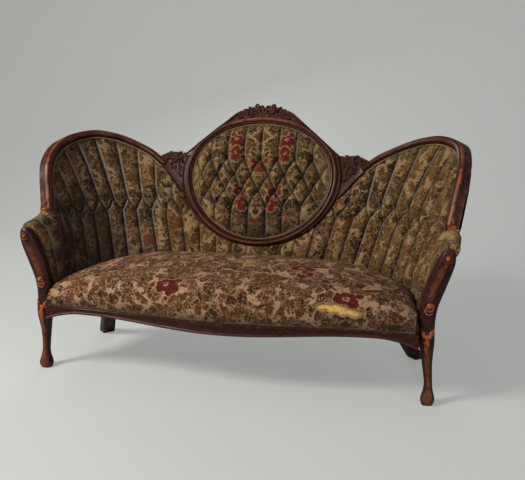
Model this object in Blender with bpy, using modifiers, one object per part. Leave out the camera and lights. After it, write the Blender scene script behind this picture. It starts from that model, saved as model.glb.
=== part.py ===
"""A worn Victorian medallion-back sofa with a torn seat cover, at its real size.

Metres, +Z up, the front faces -Y, and the origin lies on the floor under the middle of the sofa.
The back is a tub: a U in plan that leans outwards as it rises. Rails, stiles, padding and covers
are all set out from that one surface, so they follow it when its sizes change.
"""

import math

import bmesh
import bpy
from mathutils import Vector

# Overall setting out
FRONT_SHIFT = 0.0329         # moves the set-out frame so that the origin is under the middle
FIT_GAP = 0.0004             # gap between pieces that bear on each other
PAD_GAP = 0.0008             # gap between the medallion pad and its rail
EDGE_GAP = 0.0032            # gap between the back padding and the rails over it

# The tub: the line where padding meets show wood
TUB_LEVEL = 0.42             # height at which the plan sizes below hold
TUB_HALF_WIDTH = 0.7696      # centre to inside of the arm at that height
TUB_BACK = 0.1245            # centre line of the sofa to the back surface at that height
TUB_CORNER = 0.38            # plan radius of the rounded back corners
TUB_FRONT = -0.3245          # where the arms end behind the front posts
BACK_LEAN = 0.36             # the back moves this far back for each metre of height
SIDE_LEAN = 0.28             # the sides move this far out for each metre of height
BACK_BUILD = 0.042           # thickness of the back frame behind that surface

# Seat
SEAT_FRAME_BOTTOM = 0.262
SEAT_FRAME_TOP = 0.322
SEAT_RAIL_THICK = 0.0353
FABRIC_LINE = 0.291          # the gimp line along the front rail
SEAT_CROWN = 0.455           # highest point of the seat
FRONT_LINE = 0.4225          # mean distance of the serpentine front from the set-out line
FRONT_BOW = 0.0245           # how far the front swells and dips about that line
FRONT_WAVE = 0.62            # centre of the swell to the middle of the dip
RAIL_PROUD = 0.007           # how far the rail moulding stands out from the cover
RAIL_DROP = 0.022            # how much lower the rail's edge is at the middle
COVER_THICK = 0.003
FOAM_INSET = 0.0075          # foam inside the outer face of the cover
SEAT_SIDE_FALL = 0.42        # how much of its height the dome loses at the arms
SEAT_LEVEL = 0.36            # the seat's outline is the tub at this height, less the inset
SEAT_INSET = 0.021
FOAM_BOTTOM = 0.3242
SEAT_SKIRT = 0.336           # lowest edge of the cover at the sides and back
BURLAP_BOTTOM = 0.3226
WEBBING_TOP = 0.2616
WEBBING_THICK = 0.002
WEBBING_WIDTH = 0.085
SPRING_WIRE = 0.0022
SPRING_RADIUS = 0.042
SPRING_TURNS = 3
SPRING_ROWS = ((-0.51, -0.17, 0.17, 0.51), (-0.300, -0.050))

# Front posts
POST_X = 0.7965
POST_Y = -0.350
POST_TOP = 0.606
SEAT_JOINT_X = (0.7335, 0.7640)  # sides of the block that the side rail is jointed to
SEAT_JOINT_Y = -0.3216       # and its back

# Back posts
BACK_FOOT = (0.742, 0.122)
BACK_POST_TOP = 0.913
BACK_POST_TURN = 47.0        # degrees round the corner at which the back posts stand

# Medallion
MEDALLION_MIDDLE = 0.747     # height of its centre
MEDALLION_HALF_WIDTH = 0.325
MEDALLION_HALF_HEIGHT = 0.270
MEDALLION_EGG = 0.09         # how much wider the oval is above its middle
RING_PROUD = 0.020           # show wood in front of the back surface
RING_WIDTH_LOW = 0.032
RING_WIDTH_SIDE = 0.050
RING_STEPS = 40

# Wing rails
WING_WIDTH = 0.043
WING_WIDTH_START = 0.030
RAIL_FRONT = 0.016           # front of the rail before the padding line
# Stations of the padding line along a wing: distance round the tub from its middle, and height
WING_LINE = (
    (0.3747, 0.799), (0.4211, 0.842), (0.4808, 0.876), (0.5383, 0.902), (0.5959, 0.921),
    (0.6833, 0.933), (0.7930, 0.917), (0.8860, 0.881), (0.9380, 0.832), (0.9500, 0.780),
    (0.9500, 0.710), (0.9500, 0.645),
)
# Near the front of the wings the sides stand more upright: height and how far out they move
FLARE = ((0.55, 0.0), (0.645, 0.015), (0.710, 0.009), (0.780, 0.002), (0.835, -0.004), (0.90, -0.010))
FLARE_START = 0.78           # distance round the tub at which this begins
FLARE_FULL = 0.92
ARM_START = 0.9475           # distance round the tub at which the arm takes over from the wing
ARM_STUMP = (0.9515, 0.9890)   # the post under the wing rail's end, round the tub
ARM_ROLL_BACK = 0.642        # top of the arm's padded roll at the wing
ARM_ROLL_FRONT = 0.620       # and behind the front post
ARM_ROLL_RADIUS = 0.037
ARM_ROLL_OUT = 0.027         # the roll's middle, outwards from the padding line

# Padding
FLUTE_PITCH = 0.071
FLUTE_DEPTH = 0.014
FLUTE_COLUMNS = (0.0, 0.25, 0.75)
FLUTE_FAN = 1.25             # how fast the wings' upper flutes spread, per metre of height
FLUTE_FAN_RUN = 0.50         # where round the tub they stay upright
PAD_CROWN = 0.016
PAD_BACK = 0.0110            # padding behind the padding line, against the frame
PAD_BOTTOM = 0.330
WING_ROWS = ((0.605, 0.0), (0.660, 0.5))       # heights of the two rows of buttons in the wings
TUFT_PITCH = 0.080
TUFT_ROWS = ((-0.115, 0.5), (-0.050, 0.0), (0.025, 0.5), (0.100, 0.0))
TUFT_DEPTH = 0.020
TUFT_CROWN = 0.020

STRAIGHT_RUN = TUB_HALF_WIDTH - TUB_CORNER
CORNER_RUN = TUB_CORNER * math.pi / 2
SIDE_RUN = TUB_BACK - TUB_CORNER - TUB_FRONT
TUB_RUN = STRAIGHT_RUN + CORNER_RUN + SIDE_RUN
CORNER_START = STRAIGHT_RUN / TUB_RUN
CORNER_END = (STRAIGHT_RUN + CORNER_RUN) / TUB_RUN
LEAN_ANGLE = math.atan(BACK_LEAN)


def clear_scene():
    for old in list(bpy.data.objects):
        bpy.data.objects.remove(old)


def new_material(name, colour, roughness):
    material = bpy.data.materials.new(name)
    material.use_nodes = True
    shader = material.node_tree.nodes["Principled BSDF"]
    shader.inputs["Base Color"].default_value = (*colour, 1.0)
    shader.inputs["Roughness"].default_value = roughness
    return material


clear_scene()
WOOD = new_material("walnut", (0.13, 0.035, 0.022), 0.38)
FRAME_WOOD = new_material("frame_wood", (0.33, 0.22, 0.13), 0.7)
TAPESTRY = new_material("tapestry", (0.27, 0.19, 0.10), 0.9)
BACKING = new_material("back_cloth", (0.36, 0.34, 0.28), 0.95)
GIMP = new_material("gimp", (0.33, 0.26, 0.12), 0.85)
FOAM = new_material("foam", (0.86, 0.62, 0.22), 0.95)
JUTE = new_material("jute", (0.42, 0.31, 0.18), 0.95)
CAMBRIC = new_material("cambric", (0.05, 0.05, 0.05), 0.95)
STEEL = new_material("spring_steel", (0.35, 0.33, 0.30), 0.4)
STEEL.node_tree.nodes["Principled BSDF"].inputs["Metallic"].default_value = 1.0

PARTS = bpy.data.collections.new("medallion_sofa")
CUTTERS = bpy.data.collections.new("cutters")
bpy.context.scene.collection.children.link(PARTS)
bpy.context.scene.collection.children.link(CUTTERS)
SET_OUT = bpy.data.objects.new("set_out", None)
PARTS.objects.link(SET_OUT)
SET_OUT.location = (0.0, FRONT_SHIFT, 0.0)


def add_object(name, mesh, material, collection=PARTS):
    item = bpy.data.objects.new(name, mesh)
    collection.objects.link(item)
    item.parent = SET_OUT
    mesh.materials.clear()
    mesh.materials.append(material)
    return item


def loft(rings, closed=False):
    """A mesh through rings of points, each with the same number of points; its ends are capped."""
    count = len(rings[0])
    work = bmesh.new()
    verts = [[work.verts.new(point) for point in ring] for ring in rings]
    pairs = list(zip(verts, verts[1:]))
    if closed:
        pairs.append((verts[-1], verts[0]))
    else:
        work.faces.new(verts[0][::-1])
        work.faces.new(verts[-1])
    for low, high in pairs:
        for i in range(count):
            j = (i + 1) % count
            work.faces.new((low[i], low[j], high[j], high[i]))
    bmesh.ops.recalc_face_normals(work, faces=work.faces)
    mesh = bpy.data.meshes.new("loft")
    work.to_mesh(mesh)
    work.free()
    return mesh


def smooth(mesh, degrees=40.0):
    mesh.shade_smooth()
    mesh.set_sharp_from_angle(angle=math.radians(degrees))


def mirrored(mesh):
    """The mesh for the other side of the sofa."""
    other = mesh.copy()
    other.transform(((-1, 0, 0, 0), (0, 1, 0, 0), (0, 0, 1, 0), (0, 0, 0, 1)))
    other.flip_normals()
    return other


def add_pair(name, mesh, material):
    """The right piece and its mirror image on the left."""
    smooth(mesh)
    add_object(name + "_left", mirrored(mesh), material)
    return add_object(name + "_right", mesh, material)


def box_mesh(low, high):
    work = bmesh.new()
    bmesh.ops.create_cube(work, size=1.0)
    for vert in work.verts:
        for axis in range(3):
            vert.co[axis] = low[axis] if vert.co[axis] < 0 else high[axis]
    mesh = bpy.data.meshes.new("box")
    work.to_mesh(mesh)
    work.free()
    return mesh


def spline(stations, share):
    """The point at a share of the way along a Catmull-Rom curve through the stations."""
    spans = len(stations) - 1
    place = min(max(share, 0.0), 1.0) * spans
    i = min(int(place), spans - 1)
    t = place - i
    a, b, c, d = (Vector(stations[min(max(k, 0), spans)]) for k in (i - 1, i, i + 1, i + 2))
    return 0.5 * (2 * b + (c - a) * t + (2 * a - 5 * b + 4 * c - d) * t * t
                  + (3 * b - a - 3 * c + d) * t ** 3)


def tub_sizes(z):
    """Half width and back line of the tub at height z."""
    rise = z - TUB_LEVEL
    return TUB_HALF_WIDTH + SIDE_LEAN * rise, TUB_BACK + BACK_LEAN * rise


def flare(share, z):
    """How far the tub moves outwards near the front of the wings."""
    weight = (share * TUB_RUN - FLARE_START) / (FLARE_FULL - FLARE_START)
    if weight <= 0 or z <= FLARE[0][0]:
        return 0.0
    weight = min(1.0, weight)
    weight = weight * weight * (3 - 2 * weight)
    for (low, first), (high, last) in zip(FLARE, FLARE[1:]):
        if z <= high:
            return weight * (first + (last - first) * (z - low) / (high - low))
    return weight * FLARE[-1][1]


def tub_point(share, z, outward=0.0):
    """A point of the tub: share 0 is the middle of the back, 1 is the front end of an arm."""
    half_width, back = tub_sizes(z)
    outward += flare(share, z)
    centre_x = half_width - TUB_CORNER
    centre_y = back - TUB_CORNER
    if share <= CORNER_START:
        return Vector((centre_x * share / CORNER_START, back + outward, z))
    if share <= CORNER_END:
        turn = (share - CORNER_START) / (CORNER_END - CORNER_START) * math.pi / 2
        radius = TUB_CORNER + outward
        return Vector((centre_x + radius * math.sin(turn), centre_y + radius * math.cos(turn), z))
    along = (share - CORNER_END) / (1 - CORNER_END)
    return Vector((half_width + outward, centre_y + (TUB_FRONT - centre_y) * along, z))


def tub_share(x, z):
    """The share round the tub of a point of the back or corner, from its x and height."""
    centre_x = tub_sizes(z)[0] - TUB_CORNER
    if x <= centre_x:
        return CORNER_START * x / centre_x
    turn = math.asin(min(1.0, (x - centre_x) / TUB_CORNER))
    return CORNER_START + (CORNER_END - CORNER_START) * turn / (math.pi / 2)


def back_plane(x, up, forward=0.0):
    """A point set out on the leaning back, from the middle of the medallion."""
    lean_cos = math.cos(LEAN_ANGLE)
    lean_sin = math.sin(LEAN_ANGLE)
    middle_y = tub_sizes(MEDALLION_MIDDLE)[1]
    return Vector((x, middle_y + up * lean_sin - forward * lean_cos,
                   MEDALLION_MIDDLE + up * lean_cos + forward * lean_sin))


def rounded_section(centre, half, squareness=2.6, count=12):
    """A level ring: an ellipse squared off towards a rounded rectangle."""
    ring = []
    for i in range(count):
        angle = 2 * math.pi * (i + 0.5) / count
        c, s = math.cos(angle), math.sin(angle)
        power = 2 / squareness
        ring.append(Vector((centre[0] + half[0] * math.copysign(abs(c) ** power, c),
                            centre[1] + half[1] * math.copysign(abs(s) ** power, s), centre[2])))
    return ring


def union(item, cutter_mesh):
    """Joins a closed mesh to an object for good."""
    other = add_object("joined", cutter_mesh, item.data.materials[0], CUTTERS)
    boolean = item.modifiers.new("join", "BOOLEAN")
    boolean.operation = "UNION"
    boolean.object = other
    apply_modifiers(item)
    bpy.data.objects.remove(other)


def cut(item, cutter_mesh):
    """Cuts a closed mesh out of an object for good."""
    other = add_object("cutter", cutter_mesh, item.data.materials[0], CUTTERS)
    boolean = item.modifiers.new("cut", "BOOLEAN")
    boolean.operation = "DIFFERENCE"
    boolean.object = other
    apply_modifiers(item)
    bpy.data.objects.remove(other)


def apply_modifiers(item):
    bpy.context.view_layer.update()
    graph = bpy.context.evaluated_depsgraph_get()
    mesh = bpy.data.meshes.new_from_object(item.evaluated_get(graph))
    item.modifiers.clear()
    item.data = mesh


def boss_mesh(centre, radii, tilt=0.0, petals=0, rings=5, segments=10):
    """A carved knob or flower: a flattened ball facing forward, its rim cut into petals."""
    work = bmesh.new()
    bmesh.ops.create_uvsphere(work, u_segments=segments, v_segments=rings, radius=1.0)
    for vert in work.verts:
        x, y, z = vert.co
        spread = 1.0
        if petals:
            spread = 1.0 + 0.16 * math.cos(petals * math.atan2(y, x))
        flat = Vector((x * spread * radii[0], -z * radii[2], y * spread * radii[1]))
        lean_cos = math.cos(tilt)
        lean_sin = math.sin(tilt)
        vert.co = Vector((flat.x + centre[0],
                          flat.y * lean_cos + flat.z * lean_sin + centre[1],
                          flat.z * lean_cos - flat.y * lean_sin + centre[2]))
    bmesh.ops.recalc_face_normals(work, faces=work.faces)
    mesh = bpy.data.meshes.new("boss")
    work.to_mesh(mesh)
    work.free()
    return mesh


def front_line(x):
    """The serpentine front of the seat cover in plan."""
    return -(FRONT_LINE + FRONT_BOW * math.cos(math.pi * x / FRONT_WAVE))


def seat_half_width(inset=0.0):
    return tub_sizes(SEAT_LEVEL)[0] - SEAT_INSET - inset


def seat_back_line(x, inset=0.0):
    """The seat's outline at the back and round the corners, at x."""
    half_width, back = tub_sizes(SEAT_LEVEL)
    radius = TUB_CORNER - SEAT_INSET - inset
    centre_x = half_width - TUB_CORNER
    beyond = max(0.0, abs(x) - centre_x)
    return back - TUB_CORNER + math.sqrt(max(0.0, radius * radius - beyond * beyond))


def make_front_posts():
    """Cabriole leg, knee and arm support, sawn from one plank and carved."""
    # height, shift of the middle outwards, half width, middle in depth, half depth
    stations = (
        (0.000, 0.000, 0.021, 0.000, 0.021),
        (0.022, 0.001, 0.0265, -0.001, 0.028),
        (0.056, 0.001, 0.0185, 0.002, 0.019),
        (0.090, 0.000, 0.0155, 0.006, 0.016),
        (0.165, -0.007, 0.0195, 0.003, 0.021),
        (0.250, -0.012, 0.0285, -0.006, 0.032),
        (0.320, -0.014, 0.0290, 0.000, 0.028),
        (0.385, -0.009, 0.0320, 0.001, 0.023),
        (0.460, 0.010, 0.0375, 0.000, 0.022),
        (0.545, 0.039, 0.0345, -0.005, 0.024),
        (0.590, 0.050, 0.0250, -0.005, 0.022),
        (POST_TOP, 0.053, 0.0130, -0.005, 0.015),
    )
    rings = [rounded_section((POST_X + dx, POST_Y + dy, z), (hx, hy))
             for z, dx, hx, dy, hy in stations]
    post = add_object("front_post_right", loft(rings), WOOD)
    face = POST_Y - 0.024
    union(post, boss_mesh((POST_X + 0.048, face - 0.003, 0.574), (0.019, 0.019, 0.011)))
    union(post, boss_mesh((POST_X - 0.012, face + 0.002, 0.384), (0.016, 0.022, 0.010)))
    union(post, boss_mesh((POST_X - 0.010, face - 0.008, 0.262), (0.018, 0.036, 0.012)))
    union(post, box_mesh((SEAT_JOINT_X[0], SEAT_JOINT_Y - 0.026, SEAT_FRAME_BOTTOM + 0.002),
                         (SEAT_JOINT_X[1], SEAT_JOINT_Y, SEAT_FRAME_TOP - 0.002)))
    smooth(post.data)
    add_object("front_post_left", mirrored(post.data), WOOD)


def make_front_rail():
    """Serpentine front seat rail: show-wood moulding below, a rebate for the cover above."""
    reach = POST_X - 0.0135 - 0.0295 - 0.0005
    rings = []
    steps = 20
    for i in range(steps + 1):
        x = -reach + 2 * reach * i / steps
        front = front_line(x)
        near_post = max(0.0, (abs(x) - 0.60) / (reach - 0.60))
        low = SEAT_FRAME_BOTTOM - RAIL_DROP * (0.5 + 0.5 * math.cos(math.pi * min(1.0, abs(x) / 0.60)))
        low -= 0.030 * near_post ** 2
        proud = front - RAIL_PROUD
        inner = max(front + 0.045, -0.382)
        line = FABRIC_LINE - 0.0006
        rebate = front + 0.0068
        rings.append([Vector((x, y, z)) for y, z in (
            (proud + 0.006, low), (proud, low + 0.006), (proud + 0.002, low + 0.020),
            (proud, line - 0.005), (proud + 0.004, line), (rebate, line),
            (rebate, SEAT_FRAME_TOP), (inner, SEAT_FRAME_TOP), (inner, SEAT_FRAME_BOTTOM),
            (proud + 0.020, SEAT_FRAME_BOTTOM), (proud + 0.018, low))])
    mesh = loft(rings)
    smooth(mesh, 50)
    add_object("front_seat_rail", mesh, WOOD)


def tub_board(first, last, steps, low, high, inside, outside, square_end=None):
    """A board that follows the tub in plan between two shares of the way round."""
    rings = []
    for i in range(steps + 1):
        share = first + (last - first) * i / steps
        rings.append([tub_point(share, low, inside), tub_point(share, high, inside),
                      tub_point(share, high, outside), tub_point(share, low, outside)])
    if square_end is not None:
        for point in rings[-1]:
            point.y = square_end
    return loft(rings)


def post_share():
    return CORNER_START + (CORNER_END - CORNER_START) * BACK_POST_TURN / 90.0


POST_HALF_SHARE = 0.02605 / TUB_RUN


def make_back_frame():
    """Seat rails that follow the tub, raked back legs with their stiles, and corner blocks."""
    stile = post_share()
    side = tub_board(stile + POST_HALF_SHARE, 0.985, 8, SEAT_FRAME_BOTTOM, SEAT_FRAME_TOP,
                     0.006, 0.006 + SEAT_RAIL_THICK, SEAT_JOINT_Y + FIT_GAP)
    add_pair("side_seat_rail", side, FRAME_WOOD)
    half = tub_board(0.0, stile - POST_HALF_SHARE, 8, SEAT_FRAME_BOTTOM, SEAT_FRAME_TOP,
                     0.006, 0.006 + SEAT_RAIL_THICK)
    rail = add_object("back_seat_rail", half, FRAME_WOOD)
    keep_open_half(rail)
    turn = math.radians(BACK_POST_TURN)
    outward = Vector((math.sin(turn), math.cos(turn), 0))
    across = Vector((math.cos(turn), -math.sin(turn), 0))
    rings = []
    middle = 0.0255
    for z, half_width, half_depth in (
            (0.0, 0.029, 0.027), (0.10, 0.029, 0.025), (0.20, 0.028, 0.022),
            (SEAT_FRAME_BOTTOM, 0.0265, 0.0138), (SEAT_FRAME_TOP, 0.0265, 0.0138),
            (0.60, 0.022, 0.0138), (BACK_POST_TOP, 0.019, 0.0138)):
        centre = tub_point(stile, max(z, SEAT_FRAME_BOTTOM), middle)
        rake = max(0.0, 1 - z / SEAT_FRAME_BOTTOM) ** 1.25
        foot = Vector((*BACK_FOOT, 0.0))
        base = Vector((centre.x, centre.y, 0.0))
        centre = base.lerp(foot, rake) + Vector((0, 0, z))
        rings.append([centre + across * half_width * i + outward * half_depth * j
                      for i, j in ((-1, -1), (1, -1), (1, 1), (-1, 1))])
    post = loft(rings)
    add_pair("back_post", post, WOOD)


def keep_open_half(item):
    """Mirrors a half that starts at the middle plane."""
    work = bmesh.new()
    work.from_mesh(item.data)
    middle = [face for face in work.faces if all(abs(v.co.x) < 1e-6 for v in face.verts)]
    bmesh.ops.delete(work, geom=middle, context="FACES_ONLY")
    work.to_mesh(item.data)
    work.free()
    mirror = item.modifiers.new("other_half", "MIRROR")
    mirror.merge_threshold = 0.0001
    apply_modifiers(item)


def ring_inner(angle, growth=0.0):
    """The oval at the medallion's padding, angle 0 to the right and 90 degrees at the top."""
    width = MEDALLION_HALF_WIDTH * (1 + MEDALLION_EGG * math.sin(angle)) + growth
    return width * math.cos(angle), (MEDALLION_HALF_HEIGHT + growth) * math.sin(angle)


def ring_width(angle):
    """Width of the moulding below: narrow at the bottom, wider at the sides."""
    return RING_WIDTH_LOW + (RING_WIDTH_SIDE - RING_WIDTH_LOW) * math.cos(angle) ** 2


GABLE_FOOT = (0.372, 0.118)
GABLE_SHOULDER = (0.135, 0.322)
GABLE_TOP = 0.324


def ring_outer(angle):
    """The outside of the show wood: a ring below, rising to a gable above the spandrels."""
    x, up = ring_inner(angle, ring_width(angle))
    if up <= GABLE_FOOT[1]:
        return x, up
    direction = math.atan2(up, abs(x))
    foot_angle = math.atan2(GABLE_FOOT[1], GABLE_FOOT[0])
    shoulder_angle = math.atan2(GABLE_SHOULDER[1], GABLE_SHOULDER[0])
    if direction > shoulder_angle:
        share = (direction - shoulder_angle) / (math.pi / 2 - shoulder_angle)
        reach_x = GABLE_SHOULDER[0] * (1 - share)
        reach_up = GABLE_SHOULDER[1] + (GABLE_TOP - GABLE_SHOULDER[1]) * share
        return math.copysign(reach_x, x) if abs(x) > 1e-9 else 0.0, reach_up
    share = max(0.0, (direction - foot_angle) / (shoulder_angle - foot_angle))
    reach_x = GABLE_FOOT[0] + (GABLE_SHOULDER[0] - GABLE_FOOT[0]) * share
    reach_up = GABLE_FOOT[1] + (GABLE_SHOULDER[1] - GABLE_FOOT[1]) * share
    return math.copysign(max(reach_x, 0.0), x), reach_up


RING_BACK = -0.0385


def ring_section(angle):
    """The moulded section of the medallion's frame: inner lip, hollow, bead and outer face."""
    inner = Vector(ring_inner(angle, PAD_GAP))
    outer = Vector(ring_outer(angle))
    profile = ((0.0, RING_BACK), (0.0, 0.004), (0.16, 0.006), (0.30, RING_PROUD - 0.003),
               (0.48, RING_PROUD), (0.66, RING_PROUD - 0.004), (0.80, RING_PROUD - 0.009),
               (1.0, RING_PROUD - 0.010), (1.0, RING_BACK))
    return [back_plane(*inner.lerp(outer, share), forward) for share, forward in profile]


def ring_angle(step):
    return 2 * math.pi * step / RING_STEPS


CREST_STEP = 3               # ring step at which the crest rails meet the lower rail


def make_medallion_frame():
    """Two crest rails jointed at the top, and the lower rail that closes the oval."""
    quarter = RING_STEPS // 4
    rings = [ring_section(ring_angle(step)) for step in range(CREST_STEP, quarter)]
    top = ring_section(math.pi / 2)
    rings.append([Vector((FIT_GAP / 2, p.y, p.z)) for p in top])
    crest = add_object("crest_rail_right", loft(rings), WOOD)
    for x, up, radii, petals in (
            (0.040, 0.335, (0.031, 0.034, 0.022), 5),
            (0.088, 0.322, (0.026, 0.022, 0.018), 0),
            (0.118, 0.316, (0.022, 0.016, 0.015), 3)):
        point = back_plane(x, up, 0.002)
        union(crest, boss_mesh(point, radii, LEAN_ANGLE, petals))
    smooth(crest.data)
    trim_middle(crest)
    add_object("crest_rail_left", mirrored(crest.data), WOOD)
    rings = []
    for step in range(RING_STEPS // 2 - CREST_STEP, RING_STEPS + CREST_STEP + 1):
        rings.append(ring_section(ring_angle(step)))
    for end, other in ((0, 1), (-1, -2)):
        rings[end] = [a + (b - a).normalized() * FIT_GAP for a, b in zip(rings[end], rings[other])]
    lower = loft(rings)
    smooth(lower)
    add_object("medallion_lower_rail", lower, WOOD)


def trim_middle(item):
    """Cuts away what a carving pushes over the joint in the middle."""
    cut(item, box_mesh((-0.2, -0.5, 0.5), (FIT_GAP / 2, 1.0, 1.5)))


def wing_line(along):
    """A point of the padding line along a wing, as share round the tub and height."""
    run, z = spline(WING_LINE, along)
    return run / TUB_RUN, z


def wing_frame(share_along):
    """Point on the padding line, the direction across the rail away from the padding, and outwards."""
    share, z = wing_line(share_along)
    near = 0.004
    before = Vector(wing_line(max(0.0, share_along - near)))
    after = Vector(wing_line(min(1.0, share_along + near)))
    along = (tub_point(*after) - tub_point(*before)).normalized()
    slope_share = tub_point(share + 0.002, z) - tub_point(share - 0.002, z)
    slope_up = tub_point(share, z + 0.002) - tub_point(share, z - 0.002)
    outward = slope_up.cross(slope_share).normalized()
    across = along.cross(outward).normalized()
    return tub_point(share, z), across, outward, along


def wing_width(share_along):
    return WING_WIDTH_START + (WING_WIDTH - WING_WIDTH_START) * min(1.0, share_along / 0.8)


WING_STEPS = 22


def wing_section(share_along):
    """Section of a wing rail: inner lip, bead, outer edge and flat back."""
    point, across, outward, _ = wing_frame(share_along)
    width = wing_width(share_along)
    profile = ((0.0, -RING_BACK - 0.001), (0.0, -0.004), (0.22, -RAIL_FRONT + 0.002),
               (0.55, -RAIL_FRONT - 0.002), (0.82, -RAIL_FRONT + 0.004), (1.0, -0.002),
               (1.0, -RING_BACK - 0.0055))
    return [point + across * (width * s) + outward * d for s, d in profile]


def make_wing_rails():
    rings = [wing_section(i / WING_STEPS) for i in range(WING_STEPS + 1)]
    for point in rings[-1]:
        point.z = WING_LINE[-1][1]
    wing = add_object("wing_rail_right", loft(rings), WOOD)
    end = [sum((rings[-1][k] for k in (2, 3, 4, 5)), Vector()) / 4][0]
    union(wing, boss_mesh((end.x + 0.012, end.y - 0.010, end.z + 0.021), (0.017, 0.018, 0.014)))
    smooth(wing.data)
    add_object("wing_rail_left", mirrored(wing.data), WOOD)


def plane_place(point):
    """The inverse of back_plane for a point of the leaning back: across, and up the slope."""
    up = Vector((0, math.sin(LEAN_ANGLE), math.cos(LEAN_ANGLE)))
    return point.x, (point - back_plane(0, 0)).dot(up)


SPANDREL_TIP = (0.3720, -0.075)
SPANDREL_TOP = ((0.3745, 0.116), (0.395, 0.123), (0.418, 0.127), (0.442, 0.126), (0.462, 0.121))


def spandrel_outline():
    """Round the carved piece: down the ring, up the padding line, over the top."""
    ring = []
    for step in range(7, -4, -1):
        angle = ring_angle(step) * 0.5
        x, up = ring_outer(angle)
        if up < GABLE_FOOT[1] - 0.004:
            ring.append((x + 0.0005, up))
    seam = [(0.3800, -0.058), (0.4060, -0.026), (0.4310, 0.006)]
    foot = wing_section(0.0)
    beyond = wing_section(1.2 / WING_STEPS)
    inner = plane_place(foot[1])
    outer = plane_place(foot[5])
    outer_up = plane_place(beyond[5])
    return (ring + seam + [(inner[0] - 0.0006, inner[1] - 0.0006),
                           (outer[0] - 0.0008, outer[1] - 0.0002),
                           (outer_up[0] - 0.0008, outer_up[1] + 0.0010)]
            + list(SPANDREL_TOP[::-1]))


def make_spandrels():
    outline = spandrel_outline()
    rings = [[back_plane(x, up, forward) for x, up in outline] for forward in (RING_BACK, 0.008)]
    spandrel = add_object("spandrel_right", loft(rings), WOOD)
    for x, up, radii, petals in (
            (0.424, 0.094, (0.030, 0.028, 0.014), 5), (0.458, 0.104, (0.019, 0.015, 0.011), 3),
            (0.397, 0.040, (0.017, 0.030, 0.009), 0)):
        union(spandrel, boss_mesh(back_plane(x, up, 0.005), radii, LEAN_ANGLE, petals))
    smooth(spandrel.data)
    add_object("spandrel_left", mirrored(spandrel.data), WOOD)


def stagger(levels, height):
    """How far the furrows have moved sideways at a height, in pitches, between rows of buttons."""
    if height <= levels[0][0]:
        return levels[0][1]
    for (low, first), (high, last) in zip(levels, levels[1:]):
        if height <= high:
            return first + (last - first) * (height - low) / (high - low)
    return levels[-1][1]


def swell(place, phase):
    """Height of a flute, 0 in its furrow and 1 along its middle; furrows lie at half pitches."""
    to_furrow = abs(place - math.floor(place) - 0.5)
    distance = min(1.0, abs(to_furrow - phase) * 2)
    return math.sqrt(max(0.0, 1 - (1 - distance) ** 2))


def ease(distance, reach):
    return math.sin(min(1.0, max(0.0, distance / reach)) * math.pi / 2)


def padding_edge():
    """The top edge of the back's padding as a list of distance round the tub and height."""
    edge = []
    for step in range(0, 34):
        angle = -math.pi / 2 + math.radians(2.5) * step
        gap = EDGE_GAP * (1 + 0.9 * math.cos(angle) ** 2)
        x, up = ring_inner(angle, ring_width(angle) + gap)
        if x > 0.3790 or up > -0.068:
            break
        point = back_plane(x, up)
        edge.append((tub_share(x, point.z) * TUB_RUN, point.z))
    for x, up in ((0.3850, -0.0640), (0.4100, -0.0300), (0.4355, 0.0020)):
        point = back_plane(x, up)
        edge.append((tub_share(x, point.z) * TUB_RUN, point.z))
    for i in range(1, 41):
        point, across, _, _ = wing_frame(i / 40)
        low = point - across * EDGE_GAP * 1.1
        run, z = spline(WING_LINE, i / 40)
        if run > ARM_START - 0.002 or z < 0.75:
            break
        edge.append((run + (low - point).dot(tub_direction(run)), low.z))
    return edge


def tub_direction(run):
    share = run / TUB_RUN
    return (tub_point(share + 0.001, TUB_LEVEL) - tub_point(share - 0.001, TUB_LEVEL)).normalized()


def edge_height(edge, run):
    for (a, low), (b, high) in zip(edge, edge[1:]):
        if a <= run <= b:
            return low + (high - low) * (run - a) / (b - a)
    return edge[0][1] if run < edge[0][0] else edge[-1][1]


ROW_HEIGHTS = (PAD_BOTTOM, 0.430, 0.530, 0.605, 0.6325, 0.660, 0.730, 0.80, 0.87, 0.93)


def pad_rows(top):
    """Heights of the rows of points in a column: the rows of buttons keep their level."""
    low = ROW_HEIGHTS[:6]
    if top <= 0.70:
        share = (top - PAD_BOTTOM) / (0.70 - PAD_BOTTOM)
        rows = list(low) + [0.66 + 0.04 * k for k in (0.3, 0.6, 0.85, 1.0)]
        return [PAD_BOTTOM + (z - PAD_BOTTOM) * share for z in rows]
    return list(low) + [0.66 + (top - 0.66) * k for k in (0.3, 0.6, 0.85, 1.0)]


def flute_place(run, z):
    """Which flute a point of the tub belongs to, counted from the middle one."""
    spread = 1 + FLUTE_FAN * max(0.0, z - WING_ROWS[1][0]) * min(1.0, run / FLUTE_FAN_RUN)
    return (FLUTE_FAN_RUN + (run - FLUTE_FAN_RUN) / spread) / FLUTE_PITCH


def pad_depth(run, z, top):
    """How far the padding stands out in front of the padding line."""
    near_edge = ease(top - z, 0.055)
    flute = swell(flute_place(run, z), stagger(WING_ROWS, z) if top > 0.66 else 0.0)
    tuck = 0.15 + 0.85 * ease(z - PAD_BOTTOM, 0.12)
    return 0.002 + near_edge * tuck * (PAD_CROWN * ease(top - z, 0.16) + FLUTE_DEPTH * flute)


def pad_runs(last):
    runs = [0.0]
    flute = 0
    while True:
        for share in FLUTE_COLUMNS:
            run = (flute + 0.5 + share) * FLUTE_PITCH
            if run >= last - 0.008:
                return runs + [last]
            runs.append(run)
        flute += 1


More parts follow.
